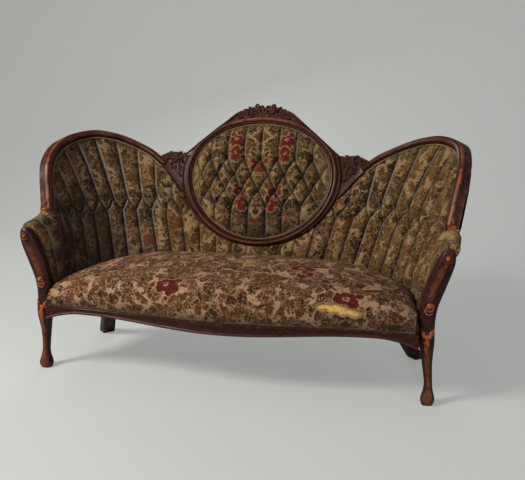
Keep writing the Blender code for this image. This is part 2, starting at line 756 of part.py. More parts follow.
def make_back_pad():
    """The fluted and buttoned lining of the back and wings, in one piece."""
    edge = padding_edge()
    last = edge[-1][0]
    half = pad_runs(last)
    columns = [-run for run in half[:0:-1]] + half
    fronts, backs = [], []
    for run in columns:
        top = edge_height(edge, abs(run))
        side = -1 if run < 0 else 1
        fronts.append([])
        for z in pad_rows(top):
            depth = pad_depth(abs(run), z, top)
            depth -= (depth - 0.002) * (1 - ease(last - abs(run), 0.020)) * 0.7
            point = tub_point(abs(run) / TUB_RUN, z, -depth)
            fronts[-1].append(Vector((side * point.x, point.y, point.z)))
        back_top = top - PAD_BACK * 0.5
        levels = (back_top, 0.646, 0.55, PAD_BOTTOM) if top > 0.70 else (
            back_top, *(PAD_BOTTOM + (top - PAD_BOTTOM) * k for k in (0.85, 0.6)), PAD_BOTTOM)
        backs.append([])
        for z in levels:
            point = tub_point(abs(run) / TUB_RUN, z, PAD_BACK)
            backs[-1].append(Vector((side * point.x, point.y, point.z)))
    mesh = loft([front + back for front, back in zip(fronts, backs)])
    smooth(mesh, 55)
    add_object("back_pad", mesh, TAPESTRY)


def arm_roll_top(share):
    along = min(1.0, (share * TUB_RUN - ARM_START) / (TUB_RUN - ARM_START))
    return ARM_ROLL_BACK + (ARM_ROLL_FRONT - ARM_ROLL_BACK) * along


def make_arm_pads():
    """Inside arms: flutes run up the inner face and over a padded roll."""
    first = ARM_START + 0.0006
    runs = [first]
    place = math.ceil(first / FLUTE_PITCH - 0.5) - 1
    while True:
        done = False
        for share in FLUTE_COLUMNS:
            run = (place + 0.5 + share) * FLUTE_PITCH
            if run > TUB_RUN - 0.006:
                done = True
                break
            if run > first + 0.006:
                runs.append(run)
        if done:
            break
        place += 1
    step = ARM_STUMP[1] + 0.0008
    runs = [run for run in runs if abs(run - step) > 0.005] + [step, step + 0.0015, TUB_RUN]
    runs.sort()
    rings = []
    for run in runs:
        share = run / TUB_RUN
        ends = ease(min(run - first, TUB_RUN - run), 0.015)
        flute = swell(flute_place(run, 0.5), 0.0) * (0.35 + 0.65 * ends)
        top = arm_roll_top(share)
        section = []
        for z in (PAD_BOTTOM, 0.42, 0.50, 0.56):
            tuck = 0.15 + 0.85 * ease(z - PAD_BOTTOM, 0.12)
            section.append((-(0.004 + tuck * (PAD_CROWN * 0.6 + FLUTE_DEPTH * flute)), z))
        if run < ARM_STUMP[1] + 0.0015:
            for degrees in (170, 158, 146, 134, 122, 110, 98):
                angle = math.radians(degrees)
                section.append((PAD_BACK + 0.030 * math.cos(angle),
                                top - 0.040 + 0.040 * math.sin(angle)))
            section.append((PAD_BACK, top - ARM_ROLL_RADIUS - 0.021))
            section.append((PAD_BACK, 0.55))
        else:
            radius = ARM_ROLL_RADIUS - 0.004 * (1 - flute)
            for degrees in (165, 125, 90, 55, 20, -20, -50):
                angle = math.radians(degrees)
                section.append((ARM_ROLL_OUT + radius * math.cos(angle),
                                top - ARM_ROLL_RADIUS + radius * math.sin(angle)))
            section.append((PAD_BACK + 0.001, top - ARM_ROLL_RADIUS - 0.021))
            section.append((PAD_BACK, 0.55))
        section.append((PAD_BACK, PAD_BOTTOM))
        rings.append([tub_point(share, z, outward) for outward, z in section])
    mesh = loft(rings)
    add_pair("arm_pad", mesh, TAPESTRY)


def make_arm_frame():
    """Stumps that carry the wing rails' ends, and bars under the arm rolls to the front posts."""
    first, last = ARM_STUMP
    rings = []
    for z in (SEAT_FRAME_TOP + FIT_GAP, 0.55, WING_LINE[-1][1] - 0.0006):
        rings.append([tub_point(run / TUB_RUN, z, outward) for run, outward in (
            (first, 0.0118), (last, 0.0118), (last, 0.0370), (first, 0.0370))])
    add_pair("arm_stump", loft(rings), FRAME_WOOD)
    rings = []
    start = last + FIT_GAP
    for i in range(3):
        share = (start + (TUB_RUN + 0.001 - start) * i / 2) / TUB_RUN
        middle = arm_roll_top(share) - ARM_ROLL_RADIUS
        rings.append([tub_point(min(share, 1.0), middle - low, outward) for outward, low in (
            (0.0150, 0.062), (0.0150, 0.0275), (0.0400, 0.0330), (0.0400, 0.062))])
    add_pair("arm_rail", loft(rings), FRAME_WOOD)


def medallion_swell(x, up):
    phase = stagger(TUFT_ROWS, up)
    return swell(x / TUFT_PITCH - 0.5, phase)


def make_medallion_pad():
    """The tufted pad of the medallion: two rows of tall diamonds, straight pleats above and below."""
    columns, rows = 22, 18
    front, back = [], []
    for i in range(columns + 1):
        a = -1 + 2 * i / columns
        front.append([])
        back.append([])
        for j in range(rows + 1):
            b = -1 + 2 * j / rows
            disc_x = a * math.sqrt(1 - b * b / 2)
            disc_up = b * math.sqrt(1 - a * a / 2)
            angle = math.atan2(disc_up, disc_x)
            reach = math.hypot(disc_x, disc_up)
            edge = Vector(ring_inner(angle, -PAD_GAP))
            x, up = edge * reach
            inset = (1 - reach) * MEDALLION_HALF_HEIGHT
            rise = TUFT_CROWN * ease(inset, 0.16) + TUFT_DEPTH * medallion_swell(x, up)
            front[-1].append(back_plane(x, up, 0.001 + rise * ease(inset, 0.05)))
            back[-1].append(back_plane(x, up, -PAD_BACK))
    work = bmesh.new()
    top = [[work.verts.new(point) for point in column] for column in front]
    rim = [(i, 0) for i in range(columns)] + [(columns, j) for j in range(rows)]
    rim += [(i, rows) for i in range(columns, 0, -1)] + [(0, j) for j in range(rows, 0, -1)]
    under = [work.verts.new(back[i][j]) for i, j in rim]
    for i in range(columns):
        for j in range(rows):
            work.faces.new((top[i][j], top[i + 1][j], top[i + 1][j + 1], top[i][j + 1]))
    for k, (i, j) in enumerate(rim):
        n, m = rim[(k + 1) % len(rim)]
        work.faces.new((top[i][j], under[k], under[(k + 1) % len(rim)], top[n][m]))
    work.faces.new(under[::-1])
    bmesh.ops.recalc_face_normals(work, faces=work.faces)
    mesh = bpy.data.meshes.new("medallion_pad")
    work.to_mesh(mesh)
    work.free()
    smooth(mesh, 55)
    add_object("medallion_pad", mesh, TAPESTRY)


# Front to back: share of the depth or distance in from the front, and height up the dome
SEAT_PROFILE = (
    (0.000, 0.00), (-0.003, 0.24), (0.002, 0.48), (0.018, 0.68), (0.052, 0.83),
)
SEAT_DOME = ((0.20, 0.91), (0.42, 0.985), (0.66, 1.0), (0.86, 0.96), (0.965, 0.86), (1.0, 0.38))


def seat_column(u, inset, low):
    """Points from the front edge over the dome to the back edge, at a share u of the half width."""
    x = seat_half_width(inset) * math.sin(u * math.pi / 2)
    front = front_line(x) + inset
    back = seat_back_line(x, inset)
    depth = back - front
    side = max(0.0, 1 - abs(u) ** 5) ** 0.38
    fall = 1 - SEAT_SIDE_FALL * abs(x / seat_half_width()) ** 3
    crown = (SEAT_CROWN - inset - FABRIC_LINE) * fall
    scale = min(1.0, depth / 0.30)
    points = []
    for distance, height in SEAT_PROFILE:
        rise = height * (0.25 + 0.75 * side) if height > 0.3 else height
        level = max(low, FABRIC_LINE + crown * rise)
        if height > 0.3:
            level = max(level, SEAT_SKIRT)
        points.append(Vector((x, front + distance * scale, level)))
    start = SEAT_PROFILE[-1][0] * scale
    for share, height in SEAT_DOME:
        rise = 0.24 + (height - 0.24) * side
        level = max(low, SEAT_SKIRT, FABRIC_LINE + crown * rise)
        points.append(Vector((x, front + start + (depth - start) * share, level)))
    return points


SEAT_COLUMNS = 18


def make_seat_foam():
    """The domed seat filling, seen through the tear."""
    rings = []
    for i in range(SEAT_COLUMNS + 1):
        u = -1 + 2 * i / SEAT_COLUMNS
        top = seat_column(u, FOAM_INSET, FOAM_BOTTOM + 0.004)[1:]
        for point in top:
            point.z = max(FOAM_BOTTOM + 0.004, point.z - (0.008 if abs(u) > 0.9 else 0.0))
        top[0].z = FOAM_BOTTOM + 0.004
        rings.append(top + [Vector((top[-1].x, top[-1].y, FOAM_BOTTOM)),
                            Vector((top[0].x, top[0].y, FOAM_BOTTOM))])
    mesh = loft(rings)
    smooth(mesh, 60)
    add_object("seat_foam", mesh, FOAM)


TEAR_MIDDLE = (0.463, -0.400, 0.365)
TEAR_SHAPE = (
    (-0.098, 0.007), (-0.070, -0.006), (-0.046, -0.005), (-0.030, -0.017), (-0.006, -0.015),
    (0.012, -0.026), (0.034, -0.021), (0.058, -0.031), (0.078, -0.024), (0.097, -0.018),
    (0.074, -0.009), (0.056, 0.003), (0.036, 0.002), (0.022, 0.015), (0.002, 0.011),
    (-0.020, 0.023), (-0.044, 0.017), (-0.068, 0.021),
)


def make_seat_cover():
    """The tight tapestry cover of the seat, with the long tear near its front edge."""
    work = bmesh.new()
    grid = []
    for i in range(SEAT_COLUMNS + 1):
        u = -1 + 2 * i / SEAT_COLUMNS
        grid.append([work.verts.new(point) for point in seat_column(u, 0.0, 0.0)])
    for left, right in zip(grid, grid[1:]):
        for j in range(len(left) - 1):
            work.faces.new((left[j], right[j], right[j + 1], left[j + 1]))
    mesh = bpy.data.meshes.new("seat_cover")
    work.to_mesh(mesh)
    work.free()
    cover = add_object("seat_cover", mesh, TAPESTRY)
    solid = cover.modifiers.new("thickness", "SOLIDIFY")
    solid.thickness = COVER_THICK
    solid.offset = -1
    apply_modifiers(cover)
    x, y, z = TEAR_MIDDLE
    cut(cover, loft([[Vector((x + dx, y + depth, z + dz - depth * 0.5)) for dx, dz in TEAR_SHAPE]
                     for depth in (-0.05, 0.04)]))
    smooth(cover.data, 50)


def frame_outline(front_inset, inset):
    """The seat frame's outline in plan, for the sheets above and below it."""
    half_width, back = tub_sizes(SEAT_FRAME_BOTTOM)
    points = []
    for i in range(9):
        x = (half_width - 0.020) * (i / 4 - 1)
        points.append(Vector((x, front_line(x) + front_inset, 0)))
    for share in (0.96, CORNER_END, 0.85, 0.75, 0.65, 0.55, 0.45, CORNER_START):
        points.append(tub_point(share, SEAT_FRAME_BOTTOM, inset))
    points += [Vector((-p.x, p.y, p.z)) for p in points[:8:-1]]
    return points


def sheet_mesh(points, low, high):
    return loft([[Vector((p.x, p.y, z)) for p in points] for z in (low, high)])


def make_seat_sheets():
    """Burlap over the springs and the black dust cover under the webbing."""
    burlap = sheet_mesh(frame_outline(0.030, 0.0095), BURLAP_BOTTOM, BURLAP_BOTTOM + 0.001)
    add_object("burlap", burlap, JUTE)
    low = WEBBING_TOP - WEBBING_THICK - 0.0016
    dust = sheet_mesh(frame_outline(0.030, 0.0095), low, low + 0.001)
    add_object("dust_cover", dust, CAMBRIC)


def frame_reach(y):
    """How far out the webbing is tacked, on the underside of the side rails."""
    half_width, back = tub_sizes(SEAT_FRAME_BOTTOM)
    radius = TUB_CORNER + 0.009
    beyond = max(0.0, y - (back - TUB_CORNER))
    return half_width - TUB_CORNER + math.sqrt(radius * radius - beyond * beyond)


def frame_back(x):
    """How far back the webbing is tacked, on the underside of the back rail."""
    half_width, back = tub_sizes(SEAT_FRAME_BOTTOM)
    radius = TUB_CORNER + 0.009
    beyond = max(0.0, abs(x) - (half_width - TUB_CORNER))
    return back - TUB_CORNER + math.sqrt(radius * radius - beyond * beyond)


def make_webbing():
    """Jute webbing under the springs, woven into one lattice."""
    xs = [None, -0.51 - WEBBING_WIDTH / 2]
    for x in SPRING_ROWS[0]:
        if x > SPRING_ROWS[0][0]:
            xs.append(x - WEBBING_WIDTH / 2)
        xs.append(x + WEBBING_WIDTH / 2)
    xs.append(None)
    low, high = SPRING_ROWS[1]
    ys = [front_line(0.0) + 0.045, low - WEBBING_WIDTH / 2, low + WEBBING_WIDTH / 2,
          high - WEBBING_WIDTH / 2, high + WEBBING_WIDTH / 2, tub_sizes(SEAT_FRAME_BOTTOM)[1] + 0.009]
    work = bmesh.new()
    cells = {}
    for i in range(len(xs) - 1):
        for j in range(len(ys) - 1):
            if i % 2 == 0 and j % 2 == 0:
                continue
            for a, b in ((i, j), (i + 1, j), (i + 1, j + 1), (i, j + 1)):
                if (a, b) not in cells:
                    x, y = xs[a], ys[b]
                    if x is None:
                        x = math.copysign(frame_reach(y), a - 1)
                    if b == 0:
                        y = front_line(x) + 0.030
                    elif b == len(ys) - 1:
                        y = frame_back(x)
                    cells[a, b] = work.verts.new((x, y, WEBBING_TOP))
            work.faces.new([cells[k] for k in ((i, j), (i + 1, j), (i + 1, j + 1), (i, j + 1))])
    mesh = bpy.data.meshes.new("webbing")
    work.to_mesh(mesh)
    work.free()
    webbing = add_object("webbing", mesh, JUTE)
    solid = webbing.modifiers.new("thickness", "SOLIDIFY")
    solid.thickness = WEBBING_THICK
    solid.offset = -1
    apply_modifiers(webbing)


def make_springs():
    """Coil springs between the webbing and the burlap."""
    bottom = WEBBING_TOP + SPRING_WIRE + 0.0003
    top = BURLAP_BOTTOM - SPRING_WIRE - 0.0003
    count = SPRING_TURNS * 6
    number = 0
    for y in SPRING_ROWS[1]:
        for x in SPRING_ROWS[0]:
            rings = []
            for i in range(count + 1):
                share = i / count
                angle = 2 * math.pi * SPRING_TURNS * share
                waist = 1 - 0.30 * math.sin(math.pi * share)
                radius = SPRING_RADIUS * waist
                rise = bottom + (top - bottom) * min(1.0, max(0.0, (share - 0.14) / 0.72))
                centre = Vector((x + radius * math.cos(angle), y + radius * math.sin(angle), rise))
                out = Vector((math.cos(angle), math.sin(angle), 0))
                ring = []
                for k in range(3):
                    turn = 2 * math.pi * k / 3 + math.pi / 2
                    ring.append(centre + out * (SPRING_WIRE * math.cos(turn))
                                + Vector((0, 0, SPRING_WIRE * math.sin(turn))))
                rings.append(ring)
            number += 1
            mesh = loft(rings)
            smooth(mesh, 80)
            add_object("seat_spring_%d" % number, mesh, STEEL)


def outside_top(run):
    """The upper edge of the outside back: over the medallion's back and along the wings."""
    x = run * (tub_sizes(0.85)[0] - TUB_CORNER) / STRAIGHT_RUN
    gable_x, gable_up = GABLE_FOOT
    if run <= 0.390:
        if x <= gable_x:
            share = max(0.0, (x - GABLE_SHOULDER[0]) / (gable_x - GABLE_SHOULDER[0]))
            up = GABLE_SHOULDER[1] + (gable_up - GABLE_SHOULDER[1]) * share - 0.025
        else:
            up = gable_up - 0.025
        return back_plane(0, up).z
    edge = [(0.390, back_plane(0, gable_up - 0.025).z)]
    edge += [(r, z + 0.016) for r, z in WING_LINE[1:-4]]
    return edge_height(edge, run)


OUTSIDE_RUNS = (0.0, 0.12, 0.19, 0.26, 0.33, 0.39, 0.44, 0.49, 0.54, 0.59, 0.64, 0.69, 0.74, 0.79,
                0.84, 0.885)


def outside_column(run, low, high, side=1):
    """Points up the front and down the back of the cloth at a distance round the tub."""
    front = BACK_BUILD + 0.0008
    levels = (low, 0.55, min(0.645, high - 0.01), high) if high > 0.60 else (
        low, low + (high - low) * 0.5, low + (high - low) * 0.8, high)
    ring = []
    for z, outward in [(z, front) for z in levels] + [(z, front + 0.0015) for z in levels[::-1]]:
        point = tub_point(run / TUB_RUN, z, outward)
        ring.append(Vector((side * point.x, point.y, point.z)))
    return ring


def make_outside_covers():
    """Plain cloth over the outside of the back and the outside of each arm."""
    rings = []
    for run in [-r for r in OUTSIDE_RUNS[:0:-1]] + list(OUTSIDE_RUNS):
        side = -1 if run < 0 else 1
        rings.append(outside_column(abs(run), SEAT_FRAME_BOTTOM, outside_top(abs(run)), side))
    mesh = loft(rings)
    smooth(mesh)
    add_object("outside_back", mesh, BACKING)
    rings = []
    for run, high in ((0.887, 0.885), (0.928, 0.840), (0.955, 0.775), (0.973, 0.670),
                      (0.9850, 0.620), (0.9870, 0.560), (1.020, None), (TUB_RUN - 0.004, None)):
        if high is None:
            high = arm_roll_top(run / TUB_RUN) - ARM_ROLL_RADIUS - 0.038
        rings.append(outside_column(run, SEAT_FRAME_BOTTOM, high))
    add_pair("outside_arm", loft(rings), BACKING)


def make_corner_blocks():
    half_width = tub_sizes(SEAT_FRAME_BOTTOM)[0]
    x = half_width + 0.0020
    points = [Vector((q, front_line(q) + 0.0456, 0)) for q in (x, x - 0.045, x - 0.080)]
    points.append(Vector((x, front_line(x) + 0.095, 0)))
    block = sheet_mesh(points, SEAT_FRAME_BOTTOM + 0.004, SEAT_FRAME_TOP - 0.004)
    add_pair("corner_block", block, FRAME_WOOD)


def make_seat_gimp():
    """Flat braid that hides the tacks along the lower edge of the seat cover."""
    rings = []
    for i in range(SEAT_COLUMNS + 1):
        x = (seat_half_width() + 0.010) * (-1 + 2 * i / SEAT_COLUMNS)
        y = front_line(x) - 0.0016
        z = FABRIC_LINE
        rings.append([Vector((x, y, z)), Vector((x, y, z + 0.009)),
                      Vector((x, y - 0.0022, z + 0.009)), Vector((x, y - 0.0022, z))])
    mesh = loft(rings)
    smooth(mesh)
    add_object("seat_gimp", mesh, GIMP)


make_front_posts()
make_front_rail()
make_back_frame()
make_medallion_frame()
make_wing_rails()
make_spandrels()
make_back_pad()
make_arm_pads()
make_arm_frame()
make_medallion_pad()
make_corner_blocks()
make_seat_foam()
make_seat_cover()
make_seat_sheets()
make_webbing()
make_springs()
make_outside_covers()
make_seat_gimp()
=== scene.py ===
# %% [markdown]
# # A torn Victorian sofa
#
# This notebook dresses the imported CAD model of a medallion-back sofa. The CAD model is the frame:
# it fixes every size, and each piece made here stands on it, in metres, with +Z up and the seat
# facing -Y. The real thing is a carved walnut frame with a fluted and buttoned lining, a sprung
# seat under worn tapestry, and a long tear near the seat's front edge that shows the foam.

# %% Load the frame
from math import asin, atan, atan2, copysign, cos, exp, pi, radians, sin, sqrt

import bmesh
import bpy
import numpy as np
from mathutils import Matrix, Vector, noise


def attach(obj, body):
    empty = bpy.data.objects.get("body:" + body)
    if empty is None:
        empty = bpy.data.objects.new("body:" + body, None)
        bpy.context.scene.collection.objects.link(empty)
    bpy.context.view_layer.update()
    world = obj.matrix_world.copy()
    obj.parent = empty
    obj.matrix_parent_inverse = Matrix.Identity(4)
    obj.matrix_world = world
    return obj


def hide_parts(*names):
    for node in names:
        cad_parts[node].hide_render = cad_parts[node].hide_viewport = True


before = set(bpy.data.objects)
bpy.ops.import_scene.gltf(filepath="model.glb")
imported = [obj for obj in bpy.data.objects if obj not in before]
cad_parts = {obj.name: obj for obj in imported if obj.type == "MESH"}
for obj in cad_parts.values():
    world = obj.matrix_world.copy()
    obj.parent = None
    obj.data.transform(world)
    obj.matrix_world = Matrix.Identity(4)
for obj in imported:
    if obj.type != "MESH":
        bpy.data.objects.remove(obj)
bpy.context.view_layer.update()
scene = bpy.context.scene



def stand(name, data):
    """A new object in the scene that shows the given data."""
    item = bpy.data.objects.new(name, data)
    scene.collection.objects.link(item)
    return item


# %% [markdown]
# ## Node trees
#
# A finish is a tree of shader nodes, and so is the sky. The trims further down grow from trees of
# geometry nodes. The helpers below keep each tree readable: a call makes a node, joins what it is
# given and hands back its output.


# %% A helper for node trees
class Tree:
    def __init__(self, tree):
        self.tree = tree

    def put(self, socket, value):
        if isinstance(value, bpy.types.NodeSocket):
            self.tree.links.new(value, socket)
        elif isinstance(value, tuple) and len(value) == 3 and socket.type == "RGBA":
            socket.default_value = (*value, 1.0)
        else:
            socket.default_value = value

    def node(self, kind, inputs=None, output=0, **settings):
        item = self.tree.nodes.new(kind)
        for key, value in settings.items():
            setattr(item, key, value)
        for key, value in (inputs or {}).items():
            self.put(item.inputs[key], value)
        return item.outputs[output]

    def maths(self, operation, a, b=0.0, clamp=False, plus=0.0):
        return self.node("ShaderNodeMath", {0: a, 1: b, 2: plus}, operation=operation, use_clamp=clamp)

    def times(self, a, b, clamp=False):
        return self.maths("MULTIPLY", a, b, clamp)

    def plus(self, a, b):
        return self.maths("ADD", a, b)

    def minus(self, a, b):
        return self.maths("SUBTRACT", a, b)


class Finish(Tree):
    def __init__(self, name):
        self.material = bpy.data.materials.new(name)
        self.material.use_nodes = True
        super().__init__(self.material.node_tree)
        self.shader = self.tree.nodes["Principled BSDF"]

    def vector(self, operation, a, b=(0.0, 0.0, 0.0), output=0):
        return self.node("ShaderNodeVectorMath", {0: a, 1: b}, output, operation=operation)

    def scaled(self, a, factor):
        return self.node("ShaderNodeVectorMath", {0: a, "Scale": factor}, operation="SCALE")

    def mix(self, share, a, b):
        return self.node("ShaderNodeMix", {0: share, 6: a, 7: b}, 2, data_type="RGBA", clamp_factor=True)

    def noise(self, place, scale, detail=3.0, roughness=0.55, output=0):
        return self.node("ShaderNodeTexNoise", {"Vector": place, "Scale": scale, "Detail": detail,
                                                "Roughness": roughness}, output)

    def cells(self, place, scale, feature="F1", output=0, randomness=1.0):
        return self.node("ShaderNodeTexVoronoi", {"Vector": place, "Scale": scale,
                                                  "Randomness": randomness}, output, feature=feature)

    def step(self, value, low, high):
        """0 below low and 1 above high, with a smooth rise between them; high may be the smaller."""
        return self.node("ShaderNodeMapRange", {0: value, 1: low, 2: high, 3: 0.0, 4: 1.0},
                         interpolation_type="SMOOTHSTEP")

    def weave(self, cloth, *pitches):
        """Crossed threads, at the two pitches given, from 0 in the gaps to 1."""
        waves = []
        for k, pitch in enumerate(pitches):
            way = self.node("ShaderNodeSeparateXYZ", {0: cloth}, k)
            waves.append(self.maths("SINE", self.times(way, 2 * pi / pitch)))
        return self.times(self.plus(self.times(*waves), 1.0), 0.5)

    def painted(self, name):
        return self.node("ShaderNodeAttribute", output=2, attribute_name=name)

    def cloth(self):
        return self.node("ShaderNodeUVMap", uv_map="cloth")

    def place(self):
        return self.node("ShaderNodeTexCoord", output=3)

    def bump(self, height, distance, strength):
        return self.node("ShaderNodeBump", {"Height": height, "Distance": distance, "Strength": strength})

    def done(self, colour, roughness, normal=None, looks=()):
        inputs = {"Base Color": colour, "Roughness": roughness, "Normal": normal, **dict(looks)}
        for key, value in inputs.items():
            if value is not None:
                self.put(self.shader.inputs[key], value)
        return self.material


# %% [markdown]
# ## Camera, light and floor
#
# The camera stands a little to the sofa's left and above it, about three metres away. One large
# soft lamp at the front left models the furrows of the padding, and a weak one fills the shadows.
# Both are plain, so a colour comes out about as it is written.

# %% Camera
AZIMUTH, ELEVATION = radians(13.5), radians(12.5)
TARGET = Vector((0.071, 0.0329, 0.524))
DISTANCE = 3.12
FOCAL_LENGTH, PICTURE_WIDTH, SENSOR = 720, 525, 36

camera = stand("photo_camera", bpy.data.cameras.new("photo_camera"))
camera.data.lens = FOCAL_LENGTH / PICTURE_WIDTH * SENSOR
camera.data.sensor_width = SENSOR
towards = Vector((sin(AZIMUTH) * cos(ELEVATION), -cos(AZIMUTH) * cos(ELEVATION),
                  sin(ELEVATION)))
camera.location = TARGET + towards * DISTANCE
camera.rotation_euler = (-towards).to_track_quat("-Z", "Y").to_euler()
scene.camera = camera
scene.view_settings.view_transform = "Standard"
print("camera at", [round(v, 3) for v in camera.location])


# %% Lamps, world and floor
def soft_lamp(name, place, aim, size, watts, colour):
    data = bpy.data.lights.new(name, "AREA")
    data.shape, data.size, data.energy, data.color = "DISK", size, watts, colour
    lamp = stand(name, data)
    lamp.location = place
    lamp.rotation_euler = (Vector(aim) - Vector(place)).to_track_quat("-Z", "Y").to_euler()


soft_lamp("key", (-2.6, -2.4, 3.0), (0.0, 0.0, 0.5), 1.3, 150, (1.0, 0.97, 0.92))
soft_lamp("fill", (3.2, -2.8, 1.8), (0.0, 0.0, 0.5), 2.6, 30, (0.93, 0.97, 1.0))
soft_lamp("back", (-1.2, 3.4, 2.6), (0.0, 0.2, 0.6), 1.6, 26, (0.97, 0.98, 1.0))
world = bpy.data.worlds.new("studio")
scene.world = world
world.use_nodes = True
sky = Tree(world.node_tree)
light = sky.tree.nodes["Background"]
sky.put(light.inputs["Color"], (0.8, 0.83, 0.84))
sky.put(light.inputs["Strength"], 0.26)
# Past the backdrop's edge the camera sees the backdrop's own grey
seen = sky.node("ShaderNodeBackground", {"Color": (0.4, 0.42, 0.4)})
to_camera = sky.node("ShaderNodeLightPath", None, "Is Camera Ray")
sky.put(sky.tree.nodes["World Output"].inputs["Surface"],
        sky.node("ShaderNodeMixShader", {0: to_camera, 1: light.outputs[0], 2: seen}))

SWEEP_START, SWEEP_RADIUS = 2.2, 2.6
sweep = [(SWEEP_START + SWEEP_RADIUS * sin(t), SWEEP_RADIUS - SWEEP_RADIUS * cos(t))
         for t in [pi / 2 * k / 24 for k in range(25)]]
sweep = [(-7.0, 0.0)] + sweep + [(4.8, 8.0)]
floor_mesh = bpy.data.meshes.new("floor")
floor_mesh.from_pydata([(x, y, z) for y, z in sweep for x in (-12, 12)], [],
                       [(2 * k, 2 * k + 1, 2 * k + 3, 2 * k + 2) for k in range(len(sweep) - 1)])
floor_mesh.shade_smooth()
floor = stand("floor", floor_mesh)
paint = Finish("pale_floor")
# To the camera alone the floor looks paler than the light that it gives back
to_camera = paint.node("ShaderNodeLightPath", None, "Is Camera Ray")
glow = paint.times(to_camera, 0.26)
glow = paint.node("ShaderNodeEmission", {"Color": (0.93, 0.95, 0.92), "Strength": glow})
paint.put(paint.tree.nodes["Material Output"].inputs["Surface"],
          paint.node("ShaderNodeAddShader", {0: paint.shader.outputs[0], 1: glow}))
floor_mesh.materials.append(paint.done((0.4, 0.41, 0.39), 0.95))

# %% [markdown]
# ## Setting out
#
# The back of the sofa is a tub: a U in plan that leans outwards as it rises. Every pad and rail is
# set out from that one surface, by the distance round it from the middle of the back and a height.
# These are the same numbers as the CAD model's, so that each piece lies where its solid lies.

# %% Sizes shared with the CAD model
SHIFT = 0.0329
TUB_LEVEL, TUB_HALF_WIDTH, TUB_BACK, TUB_CORNER, TUB_FRONT = 0.42, 0.7696, 0.1245, 0.38, -0.3245
BACK_LEAN, SIDE_LEAN = 0.36, 0.28
STRAIGHT = TUB_HALF_WIDTH - TUB_CORNER
CORNER = TUB_CORNER * pi / 2
RUN = STRAIGHT + CORNER + TUB_BACK - TUB_CORNER - TUB_FRONT
LEAN = atan(BACK_LEAN)
FLARE = ((0.55, 0.0), (0.645, 0.015), (0.71, 0.009), (0.78, 0.002), (0.835, -0.004), (0.9, -0.01))
MEDALLION_MIDDLE, OVAL_HALF_WIDTH, OVAL_HALF_HEIGHT, OVAL_EGG = 0.747, 0.325, 0.27, 0.09
WING_LINE = ((0.3747, 0.799), (0.4211, 0.842), (0.4808, 0.876), (0.5383, 0.902), (0.5959, 0.921),
             (0.6833, 0.933), (0.793, 0.917), (0.886, 0.881), (0.938, 0.832), (0.95, 0.78),
             (0.95, 0.71), (0.95, 0.645))
ARM_START, ARM_STUMP_END = 0.9475, 0.989
FLUTE_PITCH, PAD_BOTTOM = 0.071, 0.33
LOWER_BUTTONS, UPPER_BUTTONS = 0.605, 0.66
SEAT_LINE, SEAT_CROWN, SEAT_LEVEL = 0.291, 0.455, 0.36
BACK_BUILD, FRAME_BOTTOM = 0.042, 0.262


# %% Surfaces shared with the CAD model
def unit(v):
    return v / np.linalg.norm(v, axis=-1, keepdims=True)


def ramp(value, reach):
    """Rises from 0 to 1 as the value goes from 0 to its reach."""
    return np.clip(value / reach, 0, 1)


def bell(offset, width):
    return np.exp(-(offset / width) ** 2)


def circle(count):
    return np.linspace(0, 2 * pi, count, endpoint=False)


def half_at(z):
    """Half the tub's width between its straight sides at a height."""
    return TUB_HALF_WIDTH + SIDE_LEAN * (z - TUB_LEVEL)


def back_at(z):
    return TUB_BACK + BACK_LEAN * (z - TUB_LEVEL)


def flare(run, z):
    """The wings' fronts stand more upright than the rest of the tub."""
    weight = ramp(run - 0.78, 0.14)
    levels, outs = zip(*FLARE)
    return weight ** 2 * (3 - 2 * weight) * np.interp(z, levels, outs, left=0.0)


def tub(run, z, out=0.0):
    """Points at signed distances round the tub from its middle, at heights z, out beyond it."""
    run, z, out = np.broadcast_arrays(np.asarray(run, float), np.asarray(z, float),
                                      np.asarray(out, float))
    side = np.where(run < 0, -1.0, 1.0)
    way = np.abs(run)
    half, back = half_at(z), back_at(z)
    out = out + flare(way, z)
    turn = ramp(way - STRAIGHT, CORNER) * pi / 2
    along = np.clip((way - STRAIGHT - CORNER) / (RUN - STRAIGHT - CORNER), 0, 1.3)
    middle_x, middle_y = half - TUB_CORNER, back - TUB_CORNER
    x = np.where(way <= STRAIGHT, middle_x * way / STRAIGHT,
                 middle_x + (TUB_CORNER + out) * np.sin(turn))
    y = np.where(way <= STRAIGHT, back + out, middle_y + (TUB_CORNER + out) * np.cos(turn))
    y = np.where(along > 0, middle_y + (TUB_FRONT - middle_y) * along, y)
    return np.stack([side * x, y + SHIFT, z], -1)


def on_back(x, up, forward=0.0):
    """Points of the leaning back, across and up its slope from the middle of the medallion."""
    x, up, forward = np.broadcast_arrays(np.asarray(x, float), np.asarray(up, float),
                                         np.asarray(forward, float))
    middle = back_at(MEDALLION_MIDDLE) + SHIFT
    return np.stack([x, middle + up * sin(LEAN) - forward * cos(LEAN),
                     MEDALLION_MIDDLE + up * cos(LEAN) + forward * sin(LEAN)], -1)


def oval(angle, growth=0.0):
    """The edge of the medallion's pad: an oval a little wider above its middle."""
    width = OVAL_HALF_WIDTH * (1 + OVAL_EGG * np.sin(angle)) + growth
    return np.stack([width * np.cos(angle), (OVAL_HALF_HEIGHT + growth) * np.sin(angle)], -1)


def spline(stations, shares):
    """Points at shares of the way along a smooth curve through the stations."""
    stations = np.asarray(stations, float)
    spans = len(stations) - 1
    place = np.clip(np.asarray(shares, float), 0, 1) * spans
    i = np.minimum(place.astype(int), spans - 1)
    t = (place - i)[..., None]
    a, b, c, d = (stations[np.clip(i + k, 0, spans)] for k in (-1, 0, 1, 2))
    return 0.5 * (2 * b + (c - a) * t + (2 * a - 5 * b + 4 * c - d) * t ** 2
                  + (3 * b - a - 3 * c + d) * t ** 3)


